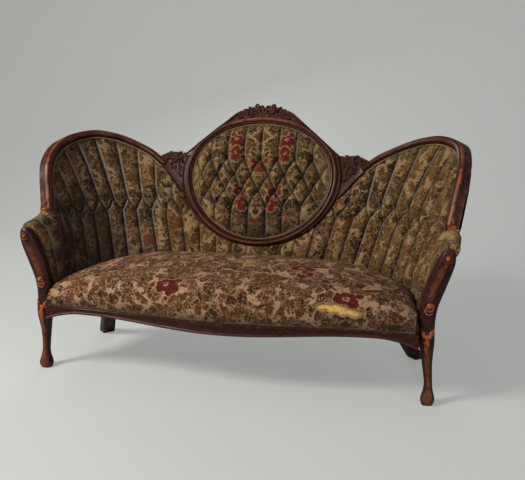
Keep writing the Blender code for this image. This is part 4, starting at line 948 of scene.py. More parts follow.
def make_arm(side):
    first = ARM_START + 0.0008
    runs = np.concatenate([np.linspace(first - 0.0045, ARM_STUMP_END + 0.0008, 22),
                           np.linspace(ARM_STUMP_END + 0.0022, RUN - 0.0002, 44)])
    rings, places, fold_shades, pleat_highlights, arm_shades = [], [], [], [], []
    sign = 1 if side == "right" else -1
    for run in runs:
        ends = float(ease(max(0.0, min(run - first, RUN - run)), 0.014))
        apart = float(pleat_distance(np.array(float(flute_place(run, np.array(0.5)))), 0.0))
        flute = float(swell(np.array(apart))) * (0.35 + 0.65 * ends)
        section = np.array(arm_section(run, flute))
        girth = np.concatenate([[0], np.cumsum(np.hypot(*np.diff(section, axis=0).T))])
        jitter = 0.0012 * wave(np.stack([np.full(len(section), run * 40), section[:, 1] * 22,
                                         section[:, 0] * 22], -1), 1.0)
        rings.append(tub(run, section[:, 1], section[:, 0] + np.where(section[:, 0] < 0.009, jitter, 0)))
        places.append(np.stack([np.full(len(section), run), PAD_BOTTOM + girth], -1))
        # Painted shade in the fold of each flute, and a painted highlight on the side that faces the light
        fold = np.exp(-(apart * FLUTE_PITCH / 0.0045) ** 2)
        fold_shades.append(np.full(len(section), fold * 0.9))
        pleat_highlights.append(np.full(len(section), bell(apart * sign * FLUTE_PITCH - 0.0075, 0.0022) * 0.6))
        # Painted shade: darker low down on both arms, most on the left one, and darker on the left arm's
        # inner face, which faces away from the light
        low_shade = ramp(0.56 - section[:, 1], 0.16) * (0.8 if side == "left" else 0.35)
        inner = (0.15 + 0.5 * (RUN - run) / (RUN - ARM_START)) if side == "left" else 0.05
        arm_shades.append(low_shade + inner * (section[:, 0] < -0.004) + 0.12)
    points = np.array(rings)
    if side == "left":
        points = points * (-1, 1, 1)
    rows, columns = points.shape[:2]
    cloth = np.array(places)
    wear_spot = np.exp(-((cloth[..., 0] - RUN) / 0.03) ** 2 - ((cloth[..., 1] - 0.53) / 0.035) ** 2)
    top_wear = bell(cloth[..., 1] - (PAD_BOTTOM + 0.33), 0.03) * 0.22
    faces = tube_faces(rows, columns)
    item = make_piece("arm_lining_" + side, points, faces, ARM_TAPESTRY, cloth * (sign, 1),
                      {"fold": fold_shades, "piping": pleat_highlights, "grime": np.clip(arm_shades, 0, 1),
                       "worn": np.clip(np.maximum(0.25 * wear_spot, top_wear), 0, 1)})
    face_outwards(item)
    finish_piece(item, "tapestry", "arm_pad_" + side)


make_arm("left")
make_arm("right")

# %% [markdown]
# ## The seat
#
# The tapestry is pulled tight over a dome of springs and foam and tacked under a braid along the
# serpentine front. Near the front edge it has split: the edges of the tear curl back, broken
# threads hang across it, and bright old foam swells through. The cover is a fine grid whose columns
# run from the braid over the front roll to the back. It is closest together round the tear, whose
# faces are then taken out before the cloth gets its thickness.

# %% The seat's surface
SEAT_PROFILE = ((0.0, 0.0), (-0.003, 0.24), (0.002, 0.48), (0.018, 0.68), (0.052, 0.83))
SEAT_DOME = ((0.2, 0.91), (0.42, 0.985), (0.66, 1.0), (0.86, 0.96), (0.965, 0.86), (1.0, 0.38))
SEAT_HALF = half_at(SEAT_LEVEL) - 0.021
SEAT_SKIRT = 0.336


def front_line(x):
    return -(0.4225 + 0.0245 * np.cos(pi * x / 0.62))


def seat_column(x, inset=0.0, steps=150):
    """Points over the seat's dome from its front edge to its back edge, at one place across."""
    half = SEAT_HALF - inset
    u = 2 / pi * asin(min(1.0, abs(x) / half))
    front = float(front_line(x)) + inset
    radius = TUB_CORNER - 0.021 - inset
    beyond = max(0.0, abs(x) - (SEAT_HALF + 0.021 - TUB_CORNER))
    back = back_at(SEAT_LEVEL) - TUB_CORNER + sqrt(max(0.0, radius ** 2 - beyond ** 2))
    depth = back - front
    side = max(0.0, 1 - u ** 8) ** 0.32
    crown = (SEAT_CROWN - inset - SEAT_LINE) * (1 - 0.42 * abs(x / SEAT_HALF) ** 3)
    scale = min(1.0, depth / 0.3)
    stations = []
    for distance, height in SEAT_PROFILE:
        rise = height * (0.25 + 0.75 * side) if height > 0.3 else height
        level = SEAT_LINE + crown * rise
        stations.append((x, front + distance * scale, max(level, SEAT_SKIRT) if height > 0.3 else level))
    start = SEAT_PROFILE[-1][0] * scale
    for share, height in SEAT_DOME:
        rise = 0.24 + (height - 0.24) * side
        stations.append((x, front + start + (depth - start) * share,
                         max(SEAT_SKIRT, SEAT_LINE + crown * rise)))
    shares = np.linspace(0, 1, steps)
    return spline(stations, shares - 0.045 * np.sin(2 * pi * shares)) + (0, SHIFT, 0)


TEAR_MIDDLE = (0.463, 0.365)
TEAR_SHAPE = np.array((
    (-0.098, 0.007), (-0.07, -0.006), (-0.046, -0.005), (-0.03, -0.017), (-0.006, -0.015),
    (0.012, -0.026), (0.034, -0.021), (0.058, -0.031), (0.078, -0.024), (0.097, -0.018),
    (0.074, -0.009), (0.056, 0.003), (0.036, 0.002), (0.022, 0.015), (0.002, 0.011),
    (-0.02, 0.023), (-0.044, 0.017), (-0.068, 0.021)))


def tear_distance(x, z):
    """Distance to the edge of the tear, seen from the front; below zero inside it."""
    p = np.stack([x - TEAR_MIDDLE[0], z - TEAR_MIDDLE[1]], -1)
    best = np.full(p.shape[:-1], 1e9)
    inside = np.zeros(p.shape[:-1], bool)
    ends = np.roll(TEAR_SHAPE, -1, axis=0)
    for a, b in zip(TEAR_SHAPE, ends):
        way = b - a
        t = ramp((p - a) @ way, way @ way)
        best = np.minimum(best, np.linalg.norm(p - a - t[..., None] * way, axis=-1))
        crosses = (a[1] > p[..., 1]) != (b[1] > p[..., 1])
        inside ^= crosses & (p[..., 0] < way[0] * (p[..., 1] - a[1]) / (way[1] + 1e-12) + a[0])
    return np.where(inside, -best, best)


def seat_grid(inset=0.0, steps=150, fine=True):
    edge = SEAT_HALF - inset
    coarse = np.sin(np.linspace(-1, 1, 250 if fine else 130) * pi / 2) * edge
    xs = coarse
    if fine:
        xs = np.unique(np.concatenate([coarse[(coarse < 0.345) | (coarse > 0.58)],
                                       np.linspace(0.345, 0.58, 150)]))
    grid = np.array([seat_column(x, inset, steps) for x in xs])
    along = np.linalg.norm(np.diff(grid, axis=1), axis=-1)
    girth = np.concatenate([np.zeros((len(xs), 1)), np.cumsum(along, axis=1)], axis=1)
    return grid, np.stack([np.repeat(xs[:, None], steps, 1), girth], -1)


def grid_normals(grid):
    return unit(np.cross(np.gradient(grid, axis=0), np.gradient(grid, axis=1)) + 1e-12)


SEAT_GRID, SEAT_CLOTH = seat_grid()
print("seat cover grid:", SEAT_GRID.shape[:2])


# %% Where things lie on the seat's cloth
def cloth_place(point):
    """Cloth coordinates of the seat at a point of the set-out frame."""
    away = np.linalg.norm(SEAT_GRID - (np.array(point) + (0, SHIFT, 0)), axis=-1)
    return SEAT_CLOTH[np.unravel_index(np.argmin(away), away.shape)]


SEAT_BLOSSOMS = [(cloth_place(point), size, turn, strength) for point, size, turn, strength in (
    ((-0.21, -0.402, 0.411), 1.12, 0.1, 1.0), ((0.485, -0.377, 0.397), 1.12, -0.2, 1.0),
    ((-0.449, -0.159, 0.439), 1.05, 0.5, 0.85), ((0.281, -0.169, 0.449), 1.15, 0.0, 1.0),
    ((0.298, -0.232, 0.452), 0.85, 1.1, 1.0),
    ((-0.643, -0.3995, 0.332), 0.55, 1.2, 0.8), ((0.462, -0.418, 0.344), 0.5, 0.0, 0.9),
    ((-0.19, -0.436, 0.33), 0.35, 0.3, 0.6))]
SEAT_TAPESTRY = tapestry(
    "seat_tapestry", (0.5, 0.295, 0.18), (0.15, 0.05, 0.013), (0.11, 0.048, 0.012), (0.06, 0.019, 0.005),
    clusters=[(*place, size, turn, strength) for place, size, turn, strength in SEAT_BLOSSOMS],
    gold=(0.33, 0.18, 0.066), red=(0.15, 0.016, 0.015), cream_share=0.55)
print("blossom clusters on the seat:", len(SEAT_BLOSSOMS))


# %% The cover and its tear
def make_seat_cover():
    grid, cloth = SEAT_GRID.copy(), SEAT_CLOTH
    normal = grid_normals(grid)
    rows, columns = grid.shape[:2]
    share = np.linspace(0, 1, columns)[None, :]
    inner = ramp(share, 0.06) * ramp(1 - share, 0.05)
    inner = inner * ramp(SEAT_HALF - np.abs(grid[..., 0]), 0.03)
    # In front of the arms the cover swells out to the posts
    swell_out = ramp(np.abs(grid[..., 0]) - 0.64, 0.09) ** 2
    swell_out = swell_out * ramp(-0.235 - grid[..., 1], 0.05)
    grid[..., 0] += np.sign(grid[..., 0]) * 0.0125 * swell_out
    lumps = wave(grid, 6.0, 3.0) * 0.0028 + wave(grid, 19.0, 7.0) * 0.0011
    pulls = ripples(grid[..., 0] * 55, cloth[..., 1] * 7)
    near_edge = bell(cloth[..., 1] - 0.028, 0.03)
    height = lumps * inner + 0.0012 * pulls * near_edge * ramp(cloth[..., 1], 0.01)
    away = np.where(grid[..., 1] < -0.3, tear_distance(grid[..., 0], grid[..., 2]), 1.0)
    away = away + 0.0016 * wave(grid, 260.0, 1.0)
    lip = bell(np.maximum(away, 0), 0.007)
    height = height + lip * (0.0026 + 0.0022 * wave(grid, 70.0, 5.0))
    height = height - 0.003 * bell(away - 0.018, 0.01)
    grid = grid + normal * height[..., None]
    faces = grid_faces(rows, columns)
    faces = faces[away.reshape(-1)[faces].mean(1) > 0]
    worn = 0.85 * np.exp(-((cloth[..., 0] - 0.046) / 0.045) ** 2 - ((grid[..., 2] - 0.449) / 0.01) ** 2
                         - ((grid[..., 1] + 0.087) / 0.045) ** 2)
    worn = np.maximum(worn, 0.9 * bell(np.maximum(away, 0), 0.0018))
    # The darkening value: darker along the front edge, at the back where the seat meets the lining (painted
    # shade in that corner), just under the tear, and towards the right end
    low = ramp(0.045 - cloth[..., 1], 0.03)
    rear = ramp(cloth[..., 1] - 0.52, 0.12) * 0.5
    under_tear = np.exp(-((cloth[..., 0] - 0.46) / 0.1) ** 2 - ((grid[..., 2] - 0.335) / 0.014) ** 2)
    grime = 0.62 * low + rear + 0.55 * under_tear + 0.42 * ramp(grid[..., 0] - 0.5, 0.2)
    none = np.zeros(grid.shape[:2])
    shades = {"fold": none, "piping": none, "grime": np.clip(grime, 0, 1), "worn": np.clip(worn, 0, 1)}
    item = make_piece("seat_tapestry_cover", grid, faces, SEAT_TAPESTRY, cloth, shades)
    reworked(item, lambda work: bmesh.ops.delete(
        work, geom=[v for v in work.verts if not v.link_faces], context="VERTS"))
    thicken(item, 0.0022, -1)
    item.data.shade_smooth()
    finish_piece(item, "tapestry", "seat_cover")


make_seat_cover()


# %% The foam under the cover
def make_foam():
    grid = seat_grid(0.0072, 120, False)[0][:, 10:]
    grid = grid - grid_normals(grid) * (0.0008 * (1 + wave(grid, 40.0)))[..., None]
    low = np.maximum(grid[..., 2], 0.3285)
    grid = np.concatenate([grid[..., :2], low[..., None]], -1)
    rows, columns = grid.shape[:2]
    under = grid.copy()
    under[..., 2] = 0.3246
    faces = [*grid_faces(rows, columns), *grid_faces(rows, columns, start=rows * columns)[:, ::-1]]
    rim = ([(i, 0) for i in range(rows)] + [(rows - 1, j) for j in range(1, columns)]
           + [(i, columns - 1) for i in range(rows - 2, -1, -1)]
           + [(0, j) for j in range(columns - 2, 0, -1)])
    for (i, j), (n, m) in zip(rim, rim[1:] + rim[:1]):
        faces.append((i * columns + j, rows * columns + i * columns + j, rows * columns + n * columns + m,
                      n * columns + m))
    item = make_piece("seat_foam_block", np.concatenate([grid.reshape(-1, 3), under.reshape(-1, 3)]), faces,
                      OLD_FOAM)
    face_outwards(item)
    finish_piece(item, "foam", "seat_foam")


def make_foam_bulge():
    """Where the cover is split the foam swells nearly level with it, torn and pitted."""
    xs = np.linspace(TEAR_MIDDLE[0] - 0.112, TEAR_MIDDLE[0] + 0.112, 150)
    strips = []
    for x in xs:
        column = seat_column(x, 0.0, 600)
        strips.append(column[(column[:, 2] > 0.318) & (column[:, 2] < 0.402) & (column[:, 1] < -0.3)])
    count = 64
    grid = np.array([[strip[int(k)] for k in np.linspace(0, len(strip) - 1, count)] for strip in strips])
    normal = grid_normals(grid)
    away = tear_distance(grid[..., 0], grid[..., 2])
    inside = ramp(-away, 0.008)
    rough = wave(grid, 110.0, 2.0) * 0.001 + wave(grid, 330.0, 4.0) * 0.0006
    depth = -0.007 + inside * (0.0058 + rough * 1.6)
    depth = np.where(away > 0.012, -0.0078, depth)
    item = closed_pad("torn_foam", grid + normal * depth[..., None], grid - normal * 0.01, OLD_FOAM,
                      grid[..., :2], {})
    finish_piece(item, "foam")


make_foam()
make_foam_bulge()

# %% [markdown]
# ## Show wood
#
# The rails are mouldings: one section of hollows and beads, kept at right angles to the line it
# follows. The medallion's moulding hugs the oval, and above it the wood widens into a gable that
# carries the carved crest. The wing rails follow the leaning tub and turn down to the arms.


# %% Sweeping a section
def sweep_rings(name, rings, finish, worn=None):
    rows, columns = np.shape(rings)[:2]
    shades = {"worn": np.zeros((rows, columns)) if worn is None else worn}
    return face_outwards(make_piece(name, rings, tube_faces(rows, columns), finish, None, shades))


def add_meshes(item, *others):
    """Joins other objects' meshes to an object, each still a closed skin of its own."""
    reworked(item, lambda work: [work.from_mesh(other.data) for other in others])
    for other in others:
        bpy.data.objects.remove(other)
    return item


def soften_corners(item, degrees=38):
    item.data.set_sharp_from_angle(angle=radians(degrees))
    return item


def paint_over(item, finish):
    item.data.materials.clear()
    item.data.materials.append(finish)


def both_sides(item, node):
    """Finishes a right-hand piece of show wood together with its mirror image."""
    name = item.name.replace("_right", "_left")
    mesh = item.data.copy()
    mesh.name = name
    for vert in mesh.vertices:
        vert.co.x = -vert.co.x
    mesh.flip_normals()
    finish_piece(item, "walnut", node + "_right")
    finish_piece(stand(name, mesh), "walnut", node + "_left")


# %% [markdown]
# ### Carving
#
# A carved flower or leaf is a set of low mounds that stand out of the wood: petals round a button,
# leaves with a rib and notched edges, and stems that curl into a volute. A small bench of such
# mounds is enough for the crest, the spandrels and the posts.


# %% A carver's bench
class Carving:
    """Collects carved shapes that lie on one face, given by its origin, right, up and out."""

    def __init__(self, face):
        self.face = face
        self.points, self.faces, self.worn = [], [], []

    def add(self, rings, worn):
        rings = np.array(rings)
        rows, columns = rings.shape[:2]
        self.faces += tube_faces(rows, columns, sum(len(p) for p in self.points))
        self.points.append(rings.reshape(-1, 3))
        self.worn.append(np.full(rows * columns, worn))

    def mound(self, x, up, turn, length, width, height, rib=0.0, notches=0, tip=1.0, base=0.0, worn=0.0,
              cup=0.0):
        """A leaf or petal centred at (x, up), pointing along turn."""
        rings = []
        for s in np.linspace(-0.995, 0.995, 15):
            w = width * max(0.03, (1 - abs(s) ** 2.2)) ** 0.62 * (1 + (tip - 1) * (s + 1) / 2)
            if notches:
                w *= 1 + 0.16 * sin((s + 1) * pi * notches)
            ring = []
            for k in range(13):
                t = -1 + 2 * k / 12
                h = height * (1 - abs(t) ** 2.2) ** 0.8 * (1 - abs(s) ** 3.5) ** 0.7
                h -= rib * height * exp(-(t / 0.16) ** 2) * (1 - s * s)
                h += cup * height * (s + 1) / 2 * t * t
                ring.append((s * length, t * w, base + h))
            for t in (0.6, 0.0, -0.6):
                ring.append((s * length, t * w, base - 0.004))
            rings.append([self.face(x + a * cos(turn) - b * sin(turn),
                                     up + a * sin(turn) + b * cos(turn), c) for a, b, c in ring])
        self.add(rings, worn)

    def flower(self, x, up, radius, height, petals=5, turn=0.0, worn=0.0, base=0.0):
        for layer, (reach, lift, count) in enumerate(((1.0, 0.0, petals), (0.62, 0.45, petals))):
            for k in range(count):
                angle = turn + 2 * pi * (k + 0.5 * layer) / count
                r = radius * reach * 0.56
                self.mound(x + r * cos(angle), up + r * sin(angle), angle, radius * reach * 0.46,
                           radius * reach * 1.75 / count * 1.25, height * (0.62 - 0.12 * layer),
                           rib=0.35, base=base + height * lift, worn=worn * (0.4 + 0.6 * layer), cup=0.25)
        self.knob(x, up, radius * 0.24, height * 0.55, base + height * 0.55, worn)

    def knob(self, x, up, radius, height, base=0.0, worn=0.0):
        rings = []
        for s in np.linspace(0, 1, 8):
            angle = s * pi / 2
            r = radius * cos(angle) + 1e-4
            rings.append([self.face(x + r * cos(a), up + r * sin(a), base + height * sin(angle))
                          for a in circle(16)])
        rings.insert(0, [self.face(x + radius * cos(a), up + radius * sin(a), base - 0.005)
                         for a in circle(16)])
        self.add(rings, worn)

    def stem(self, line, thick, height, base=0.0, worn=0.0, taper=0.5):
        """A raised stem along a line of (x, up) points."""
        line = spline(np.array(line), np.linspace(0, 1, 8 * len(line)))
        way = unit(np.gradient(line, axis=0) + 1e-9)
        rings = []
        for k, (point, along) in enumerate(zip(line, way)):
            share = k / (len(line) - 1)
            r = thick * (1 - taper * share)
            ring = []
            for angle in circle(10):
                b, c = r * cos(angle), height * (1 - taper * share) * sin(angle)
                ring.append(self.face(point[0] - along[1] * b, point[1] + along[0] * b, base + c))
            rings.append(ring)
        self.add(rings, worn)

    def volute(self, x, up, radius, thick, height, turns=1.4, start=0.0, hand=1, base=0.0, worn=0.0):
        line = [(x + radius * (1 - 0.78 * t) * cos(start + hand * 2 * pi * turns * t),
                 up + radius * (1 - 0.78 * t) * sin(start + hand * 2 * pi * turns * t))
                for t in np.linspace(0, 1, 14)]
        self.stem(line, thick, height, base, worn)
        self.knob(x, up, radius * 0.3, height * 1.1, base, worn)

    def carved(self, name, finish):
        item = make_piece(name, np.concatenate(self.points), self.faces, finish, None,
                          {"worn": np.concatenate(self.worn)})
        return face_outwards(item)


print("carver's bench ready")

# %% The medallion's frame
GABLE_FOOT, GABLE_SHOULDER, GABLE_TOP = (0.372, 0.118), (0.135, 0.322), 0.324
CREST_ANGLE = 2 * pi * 3 / 40
# Each leaf: across and up from the medallion's middle, the way it points, its length and width
CREST_LEAVES = (
    (0.066, 0.34, 0.5, 0.0175, 0.0085), (0.086, 0.333, -0.1, 0.0165, 0.008),
    (0.112, 0.321, -0.35, 0.023, 0.0105), (0.136, 0.308, -0.55, 0.021, 0.0085),
    (0.02, 0.313, -1.9, 0.015, 0.0085), (0.058, 0.308, -0.9, 0.016, 0.0075),
    (0.096, 0.306, -0.5, 0.015, 0.006), (0.011, 0.342, 1.7, 0.015, 0.0075),
    (0.156, 0.293, -0.7, 0.019, 0.007), (0.113, 0.296, -0.3, 0.017, 0.007),
    (0.174, 0.276, -0.75, 0.016, 0.006))
SPANDREL_LEAVES = (
    (0.436, 0.122, 0.3, 0.015, 0.0065), (0.4, 0.121, 2.7, 0.015, 0.0065), (0.435, 0.072, -1.1, 0.013, 0.0065),
    (0.398, 0.069, -1.9, 0.014, 0.006), (0.462, 0.088, -0.8, 0.011, 0.005), (0.383, 0.08, -1.4, 0.01, 0.0045))
RING_MOULDING = ((0.0, -0.0375), (0.0, 0.002), (0.0012, 0.0085), (0.0036, 0.0118), (0.0066, 0.0126),
                 (0.0092, 0.0108), (0.0104, 0.0088), (0.0122, 0.0122), (0.015, 0.016), (0.019, 0.019),
                 (0.0235, 0.0198), (0.0275, 0.018), (0.03, 0.015), (0.0312, 0.0118))


def ring_outer(angle):
    """The outside of the medallion's wood: a ring below, a gable above."""
    x, up = oval(angle, float(ring_width(angle)))
    if up <= GABLE_FOOT[1]:
        return x, up
    direction = atan2(up, abs(x))
    foot, shoulder = (atan2(p[1], p[0]) for p in (GABLE_FOOT, GABLE_SHOULDER))
    if direction > shoulder:
        share = (direction - shoulder) / (pi / 2 - shoulder)
        reach = GABLE_SHOULDER[0] * (1 - share)
        return copysign(reach, x), GABLE_SHOULDER[1] + (GABLE_TOP - GABLE_SHOULDER[1]) * share
    share = max(0.0, (direction - foot) / (shoulder - foot))
    return (copysign(GABLE_FOOT[0] + (GABLE_SHOULDER[0] - GABLE_FOOT[0]) * share, x),
            GABLE_FOOT[1] + (GABLE_SHOULDER[1] - GABLE_FOOT[1]) * share)


def ring_section(angle):
    inner, outer = oval(angle, 0.0006), np.array(ring_outer(angle))
    width = float(np.linalg.norm(outer - inner))
    fit = min(1.0, (width - 0.0035) / 0.0312)
    section = [(a * fit / width, out) for a, out in RING_MOULDING]
    roll = min(0.011, max(0.0, width - 0.0312 * fit))
    section += [((width - roll * k) / width, out) for k, out in
                ((1.0, 0.0102), (0.8, 0.0116), (0.66, 0.0142), (0.48, 0.015), (0.28, 0.0138), (0.1, 0.0095),
                 (0.0, 0.004))]
    section += [(1.0, -0.0375)]
    return np.array([on_back(*(inner + (outer - inner) * share), out) for share, out in section])


def ring_worn(angles, peak):
    """The dusters' wear: along the tops of the two beads, patchy round the oval."""
    values = np.zeros((len(angles), len(RING_MOULDING) + 8))
    for i, angle in enumerate(angles):
        patch = 0.5 + 0.5 * sin(angle * 7.0 + 1.3) * sin(angle * 3.0)
        values[i, 8:11] = peak * (0.35 + 0.65 * patch)
        values[i, 16:19] = peak * 0.8 * (1 - patch)
    return values


def make_medallion_frame():
    angles = np.linspace(CREST_ANGLE + 0.0004, pi / 2, 74)
    rings = [ring_section(a) for a in angles]
    rings[-1][:, 0] = 0.0003
    worn = ring_worn(angles, 0.7) * (0.25 + 0.75 * (angles > 1.15))[:, None]
    crest = soften_corners(sweep_rings("crest_right", rings, WALNUT, worn))
    carving = Carving(on_back)
    carving.flower(0.0345, 0.332, 0.035, 0.023, 6, 0.3, 0.12)
    carving.flower(0.086, 0.319, 0.024, 0.019, 5, 0.9, 0.15, 0.006)
    carving.mound(0.048, 0.316, -0.2, 0.062, 0.023, 0.012, base=-0.006, worn=0.05)
    carving.mound(0.03, 0.33, 0.1, 0.03, 0.02, 0.012, base=-0.006, worn=0.05)
    for x, up, turn in ((0.006, 0.317, 1.5), (0.008, 0.334, 1.7), (0.016, 0.305, 0.2), (0.009, 0.301, 1.57)):
        carving.mound(x, up, turn, 0.016, 0.01, 0.015, rib=0.4, notches=2, base=0.007, worn=0.1)
    for x, up, turn, length, width in CREST_LEAVES:
        carving.mound(x, up, turn, length, width, 0.015, rib=0.45, notches=3, base=0.006, worn=0.1)
    carving.stem([(0.06, 0.3), (0.085, 0.3), (0.11, 0.297), (0.135, 0.29), (0.16, 0.276),
                  (0.183, 0.26)], 0.0042, 0.005, 0.0115, 0.25, 0.7)
    carving.volute(0.118, 0.302, 0.009, 0.0028, 0.0045, 1.3, 1.0, 1, 0.0115, 0.2)
    half = add_meshes(crest, carving.carved("crest_carving", CARVED))
    paint_over(half, CARVED)
    keep_side(half)
    both_sides(half, "crest_rail")
    angles = np.linspace(pi - CREST_ANGLE + 0.0004, 2 * pi + CREST_ANGLE - 0.0004, 240)
    lower = sweep_rings("medallion_ring", [ring_section(a) for a in angles], WALNUT, ring_worn(angles, 0.22))
    soften_corners(lower)
    finish_piece(lower, "walnut", "medallion_lower_rail")


def keep_side(item):
    """Holds a right-hand piece on its own side of the middle seam."""
    for vert in item.data.vertices:
        vert.co.x = max(0.0002, vert.co.x)


make_medallion_frame()

# %% The wing rails
WING_MOULDING = (
    (0.0, 0.0365), (0.0, -0.001), (0.02, -0.007), (0.06, -0.0112), (0.11, -0.013), (0.16, -0.0118),
    (0.19, -0.0092), (0.22, -0.0125), (0.3, -0.0165), (0.42, -0.0192), (0.55, -0.0199), (0.67, -0.0182),
    (0.77, -0.0146), (0.82, -0.011), (0.85, -0.0098), (0.89, -0.0118), (0.94, -0.0104), (0.985, -0.005),
    (1.0, 0.002), (1.0, 0.031))


def wing_width(share):
    return 0.03 + 0.013 * min(1.0, share / 0.8)


def wing_section(share):
    point, across, outward, _ = wing_frame(share)
    return np.array([point + across * wing_width(share) * s + outward * d for s, d in WING_MOULDING])


def make_wing_rails():
    shares = np.linspace(0, 1, 210)
    rings = [wing_section(s) for s in shares]
    rings[-1][:, 2] = WING_LINE[-1][1]
    rings.append(rings[-1] - (0.003, 0, 0.014))
    shares = np.append(shares, 1.0)
    worn = np.zeros((len(shares), len(WING_MOULDING)))
    for i, s in enumerate(shares):
        patch = 0.5 + 0.5 * sin(s * 31 + 0.7) * sin(s * 13)
        worn[i, 14:18] = 0.75 * patch + 0.35 * (s > 0.72)
        worn[i, 8:11] = 0.35 * (1 - patch)
    rail = soften_corners(sweep_rings("wing_rail_carved_right", rings, WALNUT, worn))
    end = 0.62 * rings[-1][18] + 0.38 * rings[-1][19]
    carving = Carving(lambda x, up, out: np.array([end[0] + x, end[1] + 0.003 - out, end[2] + 0.02 + up]))
    carving.volute(0.0, 0.0, 0.013, 0.004, 0.0075, 1.25, 2.2, 1, 0.004, 1.0)
    carving.knob(0.0, 0.0, 0.0085, 0.0105, 0.002, 1.0)
    carving.mound(-0.003, 0.024, 1.75, 0.015, 0.007, 0.0065, rib=0.4, notches=2, worn=0.6)
    rail = add_meshes(rail, carving.carved("rail_end_carving", WALNUT))
    both_sides(rail, "wing_rail")


make_wing_rails()


# %% The spandrels between medallion and wings
def on_slope(point):
    """Across and up the leaning back, for a point on it: the inverse of on_back."""
    middle = on_back(0.0, 0.0)
    return point[0], float((point - middle) @ (0, sin(LEAN), cos(LEAN)))


def make_spandrels():
    outline = []
    for step in np.linspace(7, -3, 26):
        x, up = ring_outer(pi * 2 * step / 40 * 0.5)
        if up < GABLE_FOOT[1] - 0.004:
            outline.append((x + 0.0004, up))
    outline += [(0.38, -0.058), (0.406, -0.026), (0.431, 0.006)]
    foot, beyond = wing_section(0.0), wing_section(1.2 / 22)
    for ring, k, dx, du in ((foot, 1, -0.0006, -0.0006), (foot, 18, -0.0008, -0.0002),
                            (beyond, 18, -0.0008, 0.001)):
        x, up = on_slope(ring[k])
        outline.append((x + dx, up + du))
    top = spline([(0.462, 0.121), (0.442, 0.126), (0.418, 0.127), (0.395, 0.123), (0.3745, 0.116)],
                 np.linspace(0, 1, 14))
    outline += [tuple(p) for p in top]
    outline = np.array(outline)
    middle = outline.mean(0)
    rings = [on_back(outline[:, 0], outline[:, 1], -0.0375)]
    for inset, out in ((0.0, 0.004), (0.012, 0.0088), (0.03, 0.0098), (0.075, 0.008), (0.14, 0.0058),
                       (0.5, 0.0056)):
        line = outline + (middle - outline) * inset
        rings.append(on_back(line[:, 0], line[:, 1], out))
    plate = soften_corners(sweep_rings("spandrel_carved_right", rings, CARVED))
    carving = Carving(on_back)
    carving.flower(0.416, 0.094, 0.03, 0.022, 5, 0.2, 0.1)
    carving.flower(0.452, 0.103, 0.02, 0.017, 5, 0.8, 0.1)
    carving.flower(0.388, 0.099, 0.016, 0.014, 5, 0.1, 0.1)
    for x, up, turn, length, width in SPANDREL_LEAVES:
        carving.mound(x, up, turn, length * 1.15, width * 1.2, 0.014, rib=0.4, notches=2, base=0.003,
                      worn=0.1)
    carving.mound(0.3785, 0.115, 2.55, 0.019, 0.0095, 0.015, rib=0.4, notches=2, base=-0.004, worn=0.1)
    carving.stem([(0.388, 0.064), (0.389, 0.038), (0.3985, 0.02), (0.411, 0.03), (0.416, 0.048),
                  (0.413, 0.068)], 0.0034, 0.0075, 0.0062, 0.12, 0.35)
    carving.stem([(0.3965, 0.062), (0.397, 0.045), (0.402, 0.036), (0.408, 0.044), (0.408, 0.06)],
                 0.0026, 0.0062, 0.0062, 0.12, 0.35)
    carving.volute(0.427, 0.049, 0.011, 0.003, 0.007, 1.2, 2.0, -1, 0.0062, 0.05)
    carving.volute(0.39, 0.012, 0.009, 0.0028, 0.0065, 1.1, 0.5, 1, 0.0062, 0.05)
    plate = add_meshes(plate, carving.carved("spandrel_carving", CARVED))
    both_sides(plate, "spandrel")


make_spandrels()

# %% [markdown]
# ### Legs, arm posts and the front rail
#
# Each front leg, knee and arm post is sawn from one plank and carved: a long ridge between two
# hollows runs up the post, with a volute at its top, another at the seat and a leaf on the knee.
# These high places are where hands and shoes have worn the polish to orange.

# %% Front posts
POST_X, POST_Y = 0.7965, -0.35
POST_STATIONS = ((0.0, 0.0, 0.021, 0.0, 0.021), (0.022, 0.001, 0.0265, -0.001, 0.028),
                 (0.056, 0.001, 0.0185, 0.002, 0.019), (0.09, 0.0, 0.0155, 0.006, 0.016),
                 (0.165, -0.007, 0.0195, 0.003, 0.021), (0.25, -0.012, 0.0285, -0.006, 0.032),
                 (0.32, -0.014, 0.029, 0.0, 0.028), (0.385, -0.009, 0.032, 0.001, 0.023),
                 (0.46, 0.01, 0.0375, 0.0, 0.022), (0.545, 0.039, 0.0345, -0.005, 0.024),
                 (0.59, 0.05, 0.025, -0.005, 0.022), (0.606, 0.053, 0.013, -0.005, 0.015))


def post_face(x, up, out):
    """A point proud of the post's front face, at x from its plank's middle line."""
    dx, half_x, dy, half_y = (np.interp(up, POST_LEVELS[:, 0], POST_LEVELS[:, k]) for k in range(1, 5))
    side = min(1.0, abs(x - dx) / half_x)
    bulge = half_y * max(0.25, 1 - side ** 2.6) ** (1 / 2.6)
    return np.array([POST_X + x, POST_Y + SHIFT + dy - bulge - out, up])


POST_LEVELS = spline(POST_STATIONS, np.linspace(0, 1, 190))


